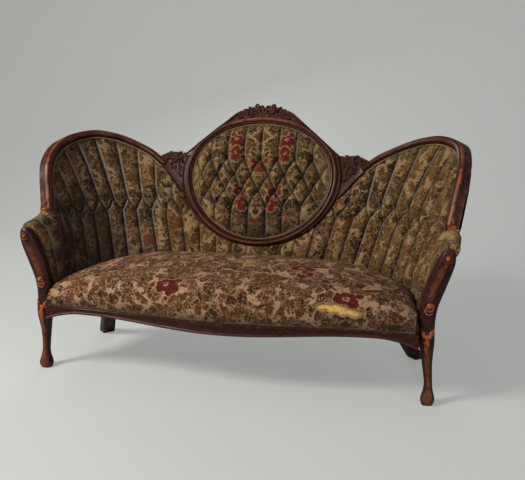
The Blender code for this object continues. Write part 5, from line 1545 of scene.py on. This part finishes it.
def make_front_posts():
    rings, worn = [], []
    for z, dx, half_x, dy, half_y in POST_LEVELS:
        angle = circle(56) + 0.05
        c, s = np.cos(angle), np.sin(angle)
        x = np.copysign(np.abs(c) ** (2 / 2.6), c)
        y = np.copysign(np.abs(s) ** (2 / 2.6), s)
        front = np.clip(-y, 0, 1) ** 2
        on_post = ramp(z - 0.4, 0.03) * ramp(0.56 - z, 0.03)
        on_leg = ramp(0.245 - z, 0.04) * ramp(z - 0.03, 0.03)
        relief = on_post * (0.0032 * bell(x, 0.26) - 0.0026 * bell(np.abs(x) - 0.52, 0.16)
                            + 0.0012 * bell(np.abs(x) - 0.86, 0.1))
        relief = relief + on_leg * (0.0018 * bell(x, 0.22) - 0.0014 * bell(np.abs(x) - 0.55, 0.2))
        ring = np.stack([POST_X + dx + half_x * x, POST_Y + SHIFT + dy + half_y * y - relief * front,
                         np.full(len(x), z)], -1)
        rings.append(ring)
        streak = 0.55 * on_leg * bell(x - 0.15, 0.45) + 0.3 * on_post * bell(x + 0.15, 0.3)
        streak = streak + 0.5 * ramp(0.06 - z, 0.05)
        worn.append(streak * front)
    post = soften_corners(sweep_rings("front_leg_right", rings, WALNUT, np.array(worn)), 50)
    carving = Carving(post_face)
    carving.volute(0.05, 0.576, 0.018, 0.005, 0.008, 1.3, 3.6, 1, 0.001, 0.25)
    carving.knob(0.05, 0.576, 0.01, 0.012, 0.0, 1.0)
    carving.volute(-0.009, 0.385, 0.017, 0.0045, 0.0075, 1.2, 1.2, -1, 0.0, 0.75)
    carving.knob(-0.007, 0.393, 0.0105, 0.0115, -0.001, 1.0)
    carving.stem([(-0.023, 0.38), (-0.019, 0.364), (-0.006, 0.36), (0.006, 0.368)], 0.0036, 0.006, 0.0,
                 0.9, 0.4)
    carving.mound(-0.0115, 0.245, -1.57, 0.042, 0.015, 0.006, rib=0.5, notches=3, base=0.0005, worn=0.95,
                  tip=0.4)
    carving.mound(-0.025, 0.286, 2.05, 0.023, 0.008, 0.006, rib=0.4, notches=2, base=0.0005, worn=0.95)
    carving.mound(0.003, 0.286, 1.1, 0.023, 0.008, 0.006, rib=0.4, notches=2, base=0.0005, worn=0.95)
    carving.mound(-0.0405, 0.256, 1.57, 0.03, 0.009, 0.006, base=-0.006, worn=0.15)
    carving.stem([(0.044, 0.554), (0.035, 0.52), (0.02, 0.48), (0.006, 0.44), (-0.004, 0.41)],
                 0.0045, 0.005, -0.0005, 0.35, 0.45)
    post = add_meshes(post, carving.carved("post_carving", WALNUT))
    both_sides(post, "front_post")


make_front_posts()


# %% The front rail and the back legs
def make_front_rail():
    reach = POST_X - 0.0135 - 0.0295 - 0.0002
    rings = []
    for x in np.linspace(-reach, reach, 170):
        front = float(front_line(x))
        near_post = max(0.0, (abs(x) - 0.6) / (reach - 0.6))
        low = 0.262 - 0.022 * (0.5 + 0.5 * cos(pi * min(1.0, abs(x) / 0.6))) - 0.03 * near_post ** 2
        proud, line, rebate = front - 0.007, SEAT_LINE - 0.0004, front + 0.0068
        inner = max(front + 0.045, -0.382)
        high = line - low
        section = [
            (proud + 0.018, low), (proud + 0.006, low), (proud + 0.0018, low + 0.0014), (proud, low + 0.005),
            (proud + 0.0012, low + 0.009), (proud + 0.0034, low + 0.0115), (proud + 0.004, low + high * 0.5),
            (proud + 0.0028, low + high * 0.66), (proud + 0.0006, low + high * 0.78),
            (proud - 0.0004, low + high * 0.88), (proud + 0.001, line - 0.001), (proud + 0.0036, line),
            (rebate, line), (rebate, 0.322), (inner, 0.322), (inner, 0.2622), (proud + 0.02, 0.2622)]
        rings.append([(x, y + SHIFT, z) for y, z in section])
    worn = np.zeros((len(rings), 17))
    worn[:, 2:5] = 0.1
    rail = soften_corners(sweep_rings("front_rail_moulded", rings, WALNUT, worn))
    finish_piece(rail, "walnut", "front_seat_rail")


make_front_rail()


LEG_TURN = 47


def make_back_legs():
    """Square raked legs that run up as stiles behind the padding, their corners eased."""
    share = STRAIGHT + CORNER * LEG_TURN / 90
    turn = radians(LEG_TURN)
    outward = np.array([sin(turn), cos(turn), 0])
    across = np.array([cos(turn), -sin(turn), 0])
    foot = np.array([0.742, 0.122 + SHIFT, 0])
    rings = []
    # Height, half the width and half the depth
    stations = np.array((
        (0.0, 0.0275, 0.0255), (0.004, 0.029, 0.027), (0.1, 0.029, 0.025), (0.2, 0.028, 0.022),
        (0.262, 0.0265, 0.0138), (0.322, 0.0265, 0.0138), (0.6, 0.022, 0.0138), (0.913, 0.019, 0.0138)))
    levels = [0, 0.002, 0.004, *np.linspace(0.02, FRAME_BOTTOM, 20), 0.322, 0.45, 0.6, 0.75, 0.913]
    eased = ((1.0, 0.0), (0.3, 0.3), (0.0, 1.0))
    for z in levels:
        half_width, half_depth = (np.interp(z, stations[:, 0], stations[:, k]) for k in (1, 2))
        middle = tub(share, max(z, FRAME_BOTTOM), 0.0255)
        rake = max(0.0, 1 - z / FRAME_BOTTOM) ** 1.25
        centre = np.array([middle[0], middle[1], 0]) * (1 - rake) + foot * rake + (0, 0, z)
        ease_by = 0.0035
        ring = []
        for i, j in ((-1, -1), (1, -1), (1, 1), (-1, 1)):
            corner_x, corner_y = i * half_width, j * half_depth
            for a, b in eased[::-1] if i * j > 0 else eased:
                ring.append(centre + across * (corner_x - i * ease_by * a)
                            + outward * (corner_y - j * ease_by * b))
        rings.append(ring)
    leg = soften_corners(sweep_rings("back_leg_right", rings, WALNUT), 30)
    both_sides(leg, "back_post")


make_back_legs()

# %% [markdown]
# The rails inside the frame are plain sawn hardwood, and their CAD solids already have the right
# shape. They keep it and only take a finish, as do the eight coil springs.

# %% Finishes on the inner frame
for node in ("side_seat_rail_left", "side_seat_rail_right", "back_seat_rail", "arm_stump_left",
             "arm_stump_right", "arm_rail_left", "arm_rail_right", "corner_block_left", "corner_block_right"):
    paint_over(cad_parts[node], BARE_WOOD)
for number in range(1, 9):
    paint_over(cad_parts["seat_spring_%d" % number], SPRING_WIRE)
print("inner frame finished")

# %% [markdown]
# ## Cloth behind and below
#
# Plain grey-green cotton is stretched over the outside of the back and of each arm. Under the
# sofa a black cambric keeps the dust in. Above it, jute straps are woven into a lattice that
# carries the eight springs, and a burlap lies between the springs and the foam. Each is a sheet
# cut flat, stretched and tacked, so it sags or drags only a little.


# %% Stretched sheets
def make_sheet(name, points, finish, cloth, node, slot, thick=0.0009):
    """A grid of points as a thin stretched cloth."""
    faces = grid_faces(*points.shape[:2])
    item = make_piece(name, points, faces, finish, cloth)
    a, b, c, d = points.reshape(-1, 3)[faces].transpose(1, 0, 2)
    face_outwards(thicken(item, thick, 0))
    finish_piece(item, slot, node)


def outside_top(run):
    """The upper edge of the outside cloth, behind the medallion's gable and along the wings."""
    x = run * (half_at(0.85) - TUB_CORNER) / STRAIGHT
    slope = (GABLE_FOOT[1] - GABLE_SHOULDER[1]) / (GABLE_FOOT[0] - GABLE_SHOULDER[0])
    up = np.where(x < GABLE_FOOT[0], GABLE_SHOULDER[1] + np.maximum(0, x - GABLE_SHOULDER[0]) * slope,
                  GABLE_FOOT[1]) - 0.025
    gable = MEDALLION_MIDDLE + up * cos(LEAN)
    runs, heights = zip(*WING_LINE[1:8])
    foot = MEDALLION_MIDDLE + (GABLE_FOOT[1] - 0.025) * cos(LEAN)
    wing = np.interp(run, (0.39,) + runs, (foot,) + tuple(z + 0.016 for z in heights))
    return np.where(run <= 0.39, gable, wing)


def outside_grid(runs, tops, rows):
    levels = FRAME_BOTTOM + (tops[:, None] - FRAME_BOTTOM) * np.linspace(0, 1, rows)[None, :]
    way = np.repeat(runs[:, None], rows, 1)
    slack = np.sin(np.linspace(0, 1, rows) * pi)[None, :] ** 0.6
    drag = ripples(way * 9, levels * 3) * 0.0012
    tacks = np.cos(way * 2 * pi / 0.055) * np.exp(-(levels - FRAME_BOTTOM) / 0.018) * 0.0005
    out = BACK_BUILD + 0.0016 + (drag + 0.0012) * slack + tacks
    return tub(way, levels, out), np.stack([way, levels], -1)


def make_outside_cloths():
    runs = np.linspace(-0.885, 0.885, 200)
    points, cloth = outside_grid(runs, outside_top(np.abs(runs)), 36)
    make_sheet("outside_back_cloth", points, OUTSIDE_CLOTH, cloth, "outside_back", "back_cloth")
    stations = ((0.887, 0.885), (0.928, 0.84), (0.955, 0.775), (0.973, 0.67), (0.985, 0.62), (0.987, 0.56),
                (1.02, 0.5595), (RUN - 0.004, 0.545))
    runs = np.concatenate([np.linspace(0.887, 0.9868, 40), np.linspace(0.987, RUN - 0.004, 60)])
    tops = np.interp(runs, *zip(*stations))
    for side, hand in (("right", 1), ("left", -1)):
        points, cloth = outside_grid(runs, tops, 40)
        points = points * (hand, 1, 1)
        make_sheet("outside_arm_cloth_" + side, points, OUTSIDE_CLOTH, cloth * (hand, 1),
                   "outside_arm_" + side, "back_cloth")


def under_grid(level, sag):
    """A grid over the seat frame in plan, at one height with a sag in its middle."""
    columns, rows = 100, 30
    half, back = half_at(FRAME_BOTTOM), back_at(FRAME_BOTTOM)
    reach = half - 0.0205
    xs = np.linspace(-reach, reach, columns)
    beyond = np.maximum(0, np.abs(xs) - (half - TUB_CORNER))
    rear = back - TUB_CORNER + np.sqrt((TUB_CORNER - 0.005) ** 2 - beyond ** 2)
    front = front_line(xs) + 0.0455
    share = np.linspace(0, 1, rows)[None, :]
    y = front[:, None] + (rear - front)[:, None] * share
    x = np.repeat(xs[:, None], rows, 1)
    hollow = (1 - (np.abs(x) / reach) ** 4) * np.sin(share * pi)
    z = level + (sag + ripples(x * 4, y * 9) * 0.0006) * hollow
    return np.stack([x, y + SHIFT, z], -1), np.stack([x, y], -1)


def make_under_cloths():
    points, cloth = under_grid(0.2585, -0.003)
    make_sheet("dust_cambric", points, BLACK_CLOTH, cloth, "dust_cover", "cambric", 0.0006)
    points, cloth = under_grid(0.3231, 0.0)
    make_sheet("burlap_sheet", points, JUTE_CLOTH, cloth, "burlap", "jute", 0.0006)
    half, back, radius = half_at(FRAME_BOTTOM), back_at(FRAME_BOTTOM), TUB_CORNER + 0.008
    columns, rows, strap = (-0.51, -0.17, 0.17, 0.51), (-0.3, -0.05), 0.084
    for number, x in enumerate(columns, 1):
        beyond = max(0.0, abs(x) + strap / 2 - (half - TUB_CORNER))
        rear = back - TUB_CORNER + sqrt(radius ** 2 - beyond ** 2)
        front = max(float(front_line(x - strap / 2)), float(front_line(x + strap / 2))) + 0.032
        share, across = np.meshgrid(np.linspace(0, 1, 50), np.linspace(-0.5, 0.5, 9), indexing="ij")
        y = front + (rear - front) * share
        weave = sum(np.exp(-((y - row) / 0.05) ** 4) * (1 if (number + k) % 2 else -1)
                    for k, row in enumerate(rows))
        points = np.stack([x + across * strap, y + SHIFT, 0.26058 + 0.00042 * weave], -1)
        make_sheet("webbing_strap_%d" % number, points, WEBBING, np.stack([across * strap, y], -1), "webbing",
                   "jute", 0.0007)
    for number, y in enumerate(rows, 5):
        beyond = max(0.0, y + strap / 2 - (back - TUB_CORNER))
        reach = half - TUB_CORNER + sqrt(radius ** 2 - beyond ** 2)
        reach = min(reach, half + 0.008)
        share, across = np.meshgrid(np.linspace(-1, 1, 100), np.linspace(-0.5, 0.5, 9), indexing="ij")
        x = reach * share
        weave = sum(np.exp(-((x - column) / 0.05) ** 4) * (-1 if (k + number) % 2 else 1)
                    for k, column in enumerate(columns))
        points = np.stack([x, y + SHIFT + across * strap, 0.26058 + 0.00042 * weave], -1)
        make_sheet("webbing_strap_%d" % number, points, WEBBING, np.stack([across * strap, x], -1), "webbing",
                   "jute", 0.0007)


WEBBING = plain_cloth("jute_webbing", (0.4, 0.28, 0.15), (0.27, 0.18, 0.09), 0.0024, bump=0.0008)
make_outside_cloths()
make_under_cloths()

# %% [markdown]
# ## Trims
#
# Everything here is one small thing many times over: threads, cords, tacks and buttons. Two
# Geometry Nodes trees do the repeating. One turns lines into cords of a given thickness. The
# other sets a copy of a small motif on each of a row of points, turned along its own direction.


# %% Two trees that repeat things
def new_tree(name, inputs):
    """A tree of geometry nodes, its inputs' identifiers, and the sockets that give their values."""
    group = bpy.data.node_groups.new(name, "GeometryNodeTree")
    names = {}
    for key, kind in inputs.items():
        socket = group.interface.new_socket(name=key, in_out="INPUT", socket_type="NodeSocket" + kind)
        names[key] = socket.identifier
    group.interface.new_socket(name="Geometry", in_out="OUTPUT", socket_type="NodeSocketGeometry")
    return Tree(group), names, group.nodes.new("NodeGroupInput").outputs


def varied(grow, given, full):
    """A random size from the full one down to it less the spread."""
    return grow.node("FunctionNodeRandomValue",
                     {2: grow.minus(full, given["Spread"]), 3: full, "Seed": given["Seed"]}, 1)


def end_tree(grow, given, shape):
    shape = grow.node("GeometryNodeRealizeInstances", {0: shape})
    shape = grow.node("GeometryNodeSetMaterial", {"Geometry": shape, "Material": given["Finish"]})
    grow.put(grow.tree.nodes.new("NodeGroupOutput").inputs[0], shape)
    return grow.tree


def cord_tree():
    grow, names, given = new_tree("lines_to_cords", {
        "Lines": "Geometry", "Radius": "Float", "Spread": "Float", "Sides": "Int", "Finish": "Material",
        "Seed": "Int"})
    curve = grow.node("GeometryNodeMeshToCurve", {"Mesh": given["Lines"]})
    curve = grow.node("GeometryNodeSetCurveRadius", {"Curve": curve, "Radius": varied(grow, given, 1.0)})
    ring = grow.node("GeometryNodeCurvePrimitiveCircle",
                     {"Radius": given["Radius"], "Resolution": given["Sides"]})
    skin = grow.node("GeometryNodeCurveToMesh", {"Curve": curve, "Profile Curve": ring, "Fill Caps": True,
                                                 "Scale": grow.node("GeometryNodeInputRadius")})
    return end_tree(grow, given, skin), names


def motif_tree():
    grow, names, given = new_tree("motif_on_points", {
        "Points": "Geometry", "Motif": "Object", "Size": "Float", "Spread": "Float", "Finish": "Material",
        "Seed": "Int"})
    turn = {}
    for name, axis, pivot in (("lift", "Z", "AUTO"), ("way", "X", "Z")):
        value = grow.node("GeometryNodeInputNamedAttribute", {"Name": name}, data_type="FLOAT_VECTOR")
        turn = {"Rotation": grow.node("FunctionNodeAlignRotationToVector", {"Vector": value, **turn},
                                      axis=axis, pivot_axis=pivot)}
    motif = grow.node("GeometryNodeObjectInfo", {"Object": given["Motif"]}, "Geometry")
    copies = grow.node("GeometryNodeInstanceOnPoints", {
        "Points": given["Points"], "Instance": motif, "Scale": varied(grow, given, given["Size"]), **turn})
    return end_tree(grow, given, copies), names


CORDS, MOTIFS = cord_tree(), motif_tree()


def grown(item, tree, values):
    """Runs a tree on an object once and keeps the result as a plain mesh."""
    grow = item.modifiers.new("grow", "NODES")
    grow.node_group, names = tree
    for key, value in values.items():
        grow[names[key]] = value
    bpy.context.view_layer.update()
    return face_outwards(apply_modifiers(item))


def make_cords(name, lines, radius, finish, slot, sides=8, spread=0.0, nodes=(), seed=3):
    points, edges = [], []
    for line in lines:
        start = len(points)
        points += [tuple(p) for p in line]
        edges += [(k, k + 1) for k in range(start, len(points) - 1)]
    mesh = bpy.data.meshes.new(name)
    mesh.from_pydata(points, edges, [])
    item = grown(stand(name, mesh), CORDS, {"Radius": radius, "Spread": spread, "Sides": sides,
                                            "Finish": finish, "Seed": seed})
    steps = np.linalg.norm(np.diff(np.array(lines[0], float), axis=0), axis=1)
    print("  %d lines, the first %.3f m long" % (len(lines), steps.sum()))
    return finish_piece(item, slot, *nodes)


def make_motifs(name, motif, points, lifts, ways, finish, slot, size=1.0, spread=0.0, seed=5):
    mesh = bpy.data.meshes.new(name)
    mesh.from_pydata([tuple(p) for p in points], [], [])
    for key, values in (("lift", lifts), ("way", ways)):
        layer = mesh.attributes.new(key, "FLOAT_VECTOR", "POINT")
        layer.data.foreach_set("vector", np.asarray(values, float).ravel())
    item = grown(stand(name, mesh), MOTIFS, {"Motif": motif, "Size": size, "Spread": spread,
                                             "Finish": finish, "Seed": seed})
    bpy.data.objects.remove(motif)
    return finish_piece(item, slot)


def turned_motif(name, outline, sides=18):
    """A small turned shape from its outline: radius and height, from the rim to the middle."""
    angles = circle(sides)
    rings = [[(r * cos(a), r * sin(a), h) for a in angles] for r, h in outline]
    return face_outwards(make_piece(name, rings, tube_faces(len(outline), sides), None))


# %% [markdown]
# A covered button sits at each crossing of the pleats. A twisted welt lies along the inner edge
# of the wing rails and of the medallion. A braid of three threads hides the tacks under the seat.

# %% Buttons
BUTTON = ((0.006, -0.003), (0.0068, -0.0005), (0.0066, 0.0012), (0.0054, 0.0028), (0.0036, 0.0038),
          (0.0016, 0.0043), (0.0004, 0.0044))


def face_frames(grid_points, index):
    """Place, outward way and way along for chosen columns and rows of a grid of points."""
    i, j = index
    across = unit(grid_points[i + 1, j] - grid_points[i - 1, j])
    up = unit(grid_points[i, j + 1] - grid_points[i, j - 1])
    return grid_points[i, j], unit(np.cross(across, up)), across


BUTTON_CLOTH = thread_finish("button_cloth", (0.15, 0.095, 0.05), (0.062, 0.036, 0.02))


def make_buttons():
    _, z, top = LINING_GRID
    front, _, _, place = LINING_SHAPE
    found = []
    for level, offset in ((LOWER_BUTTONS, 0.5), (UPPER_BUTTONS, 0.0)):
        rows = np.argmin(np.abs(z - level), axis=1)
        along = place[np.arange(len(rows)), rows] - offset
        for i in range(4, len(rows) - 4):
            here, next_one = along[i], along[i + 1]
            if top[i, 0] > 0.735 and np.floor(here) != np.floor(next_one) and abs(next_one - here) < 0.5:
                found.append(face_frames(front, (i, rows[i])))
    points, lifts, ways = (np.array(v) for v in zip(*found))
    make_motifs("wing_buttons", turned_motif("button", BUTTON), points + lifts * 0.0006, lifts, ways,
                BUTTON_CLOTH, "tapestry", 1.0, 0.08)
    points, lifts, ways = [], [], []
    for level, phase in TUFT_ROWS:
        for k in range(-4, 5):
            x = (k + 0.5 + (0.5 - phase)) * TUFT_PITCH
            x -= TUFT_PITCH * 0.06 * noise.noise(Vector((x * 12, level * 7, 9.0)))
            if np.hypot(x / OVAL_HALF_WIDTH, level / OVAL_HALF_HEIGHT) < 0.8:
                inset = (1 - np.hypot(x / OVAL_HALF_WIDTH, level / OVAL_HALF_HEIGHT)) * OVAL_HALF_HEIGHT
                depth = 0.001 + max(0.0, 0.022 * float(ease(inset, 0.15)) - 0.02) * float(ease(inset, 0.045))
                points.append(on_back(x, level, depth + 0.001))
                lifts.append((0, -cos(LEAN), sin(LEAN)))
                ways.append((1, 0, 0))
    make_motifs("medallion_buttons", turned_motif("button", BUTTON), points, lifts, ways,
                BUTTON_CLOTH, "tapestry", 1.0, 0.08, 9)


make_buttons()


# %% Welts and braid
def twisted(line, radius, pitch):
    """Two strands laid round a line, as in a twisted cord."""
    line = np.array(line)
    steps = np.concatenate([[0], np.cumsum(np.linalg.norm(np.diff(line, axis=0), axis=1))])
    at = np.linspace(0, steps[-1], int(steps[-1] / pitch * 7))
    fine = np.stack([np.interp(at, steps, line[:, k]) for k in range(3)], -1)
    along = unit(np.gradient(fine, axis=0))
    side = unit(np.cross(along, (0.3, -0.9, 0.31)))
    up = np.cross(side, along)
    result = []
    for strand in range(2):
        angle = at * 2 * pi / pitch + strand * pi
        result.append(fine + radius * (side * np.cos(angle)[:, None] + up * np.sin(angle)[:, None]))
    return result


def make_welts():
    for hand, side in ((1, "right"), (-1, "left")):
        line = []
        for share in np.linspace(0.012, 0.995, 240):
            point, across, outward, _ = wing_frame(share)
            line.append((point - across * 0.0026 - outward * 0.007) * (hand, 1, 1))
        make_cords("wing_welt_" + side, twisted(line, 0.00135, 0.011), 0.0016, WELT, "gimp", 7)
    angles = np.linspace(0, 2 * pi, 500)
    edge = oval(angles, -0.002)
    line = on_back(edge[:, 0], edge[:, 1], 0.0046)
    make_cords("medallion_welt", twisted(line, 0.00095, 0.01), 0.00115, WELT, "gimp", 7)


def make_gimp():
    """Three wavy threads and two straight edges make the flat braid along the front."""
    reach = SEAT_HALF + 0.0098
    x = np.linspace(-reach, reach, 1501)
    front = front_line(x) - 0.002 + SHIFT
    lines = []
    for k in range(3):
        angle = x * 2 * pi / 0.0105 + k * 2 * pi / 3
        lines.append(np.stack([x, front - 0.00055 * (1 + np.sin(2 * angle)), SEAT_LINE + 0.0047
                               + 0.0028 * np.sin(angle)], -1))
    x, front = x[::4], front[::4]
    for z in (0.0011, 0.0083):
        lines.append(np.stack([x, front - 0.0002, SEAT_LINE + z + 0 * x], -1))
    make_cords("braid", lines, 0.00075, BRAID, "gimp", 6, 0.1, ("seat_gimp",))


make_welts()
make_gimp()


# %% Tacks
TACK = ((0.004, -0.001), (0.0042, 0.0004), (0.0036, 0.0014), (0.0022, 0.0021), (0.0005, 0.0023))


def make_tacks():
    points = []
    half = half_at(FRAME_BOTTOM) - 0.03
    for x in np.arange(-half, half + 0.01, 0.058):
        points.append((x, float(front_line(x)) + 0.058 + SHIFT, 0.258))
    for run in np.arange(-1.02, 1.021, 0.058):
        spot = tub(run, FRAME_BOTTOM, -0.012)
        points.append((float(spot[0]), float(spot[1]), 0.258))
    count = len(points)
    make_motifs("dust_cover_tacks", turned_motif("tack", TACK, 12), points, [(0, 0, -1)] * count,
                [(1, 0, 0)] * count, TACK_BRASS, "spring_steel", 1.0, 0.1)
    points, lifts, ways = [], [], []
    for run in np.arange(-1.05, 1.051, 0.03):
        low = tub(run, FRAME_BOTTOM + 0.007, BACK_BUILD + 0.0034)
        way = unit(tub(run + 0.003, FRAME_BOTTOM, BACK_BUILD) - tub(run - 0.003, FRAME_BOTTOM, BACK_BUILD))
        if abs(abs(run) - (STRAIGHT + CORNER * LEG_TURN / 90)) > 0.035:
            points.append(low)
            lifts.append(unit(np.cross(way, (0, 0, 1))))
            ways.append(way)
    lifts = [-lift if float(lift @ (point - (0, 0, point[2]))) < 0 else lift
             for lift, point in zip(lifts, points)]
    make_motifs("outside_tacks", turned_motif("tack", TACK, 12), points, lifts, ways, TACK_BRASS,
                "spring_steel", 0.8, 0.05, 11)


make_tacks()

# %% [markdown]
# ### Broken threads
#
# Where a cloth tears its weft parts first, so threads still cross the tear or hang from its upper
# lip. Each is a thin cord that starts under one lip and sags towards the other, or curls up short.


# %% Threads across the tear
def seat_point(x, z, lift=0.0):
    column = seat_column(x, 0.0, 400)
    column = column[(column[:, 1] < -0.29) & (column[:, 2] < 0.41)]
    k = int(np.argmin(np.abs(column[:, 2] - z)))
    k = min(max(k, 1), len(column) - 2)
    along = unit(column[k + 1] - column[k - 1])
    out = unit(np.cross((1.0, 0, 0), along))
    return column[k] + out * lift


def tear_lip(x, upper):
    levels = np.linspace(-0.05, 0.05, 401)
    away = tear_distance(np.full(401, TEAR_MIDDLE[0] + x), TEAR_MIDDLE[1] + levels)
    inside = levels[away < 0]
    return None if len(inside) < 4 else TEAR_MIDDLE[1] + (inside[-1] if upper else inside[0])


def make_threads():
    rng = np.random.default_rng(41)
    lines = []
    for x in np.sort(rng.uniform(-0.098, 0.094, 90)):
        top, low = tear_lip(x, True), tear_lip(x, False)
        if top is None:
            continue
        whole = rng.random() < 0.16 or top - low < 0.008
        upper = rng.random() < 0.62
        start, end = (top + 0.003, low - 0.003) if upper else (low - 0.003, top + 0.003)
        length = (end - start) if whole else (end - start) * rng.uniform(0.18, 0.62)
        drift, curl = rng.normal(0, 0.009), rng.uniform(0.0006, 0.003)
        line = []
        for t in np.linspace(0, 1, 9):
            lift = 0.003 + curl * sin(t * pi) + (0.0 if whole else 0.0022 * t ** 2 * rng.uniform(0.2, 1.0))
            line.append(seat_point(TEAR_MIDDLE[0] + x + drift * t + 0.0012 * sin(5 * t + x * 90),
                                   start + length * t, lift))
        lines.append(line)
    make_cords("torn_threads", lines, 0.00042, FRAYED, "tapestry", 5, 0.35, (), 17)


make_threads()
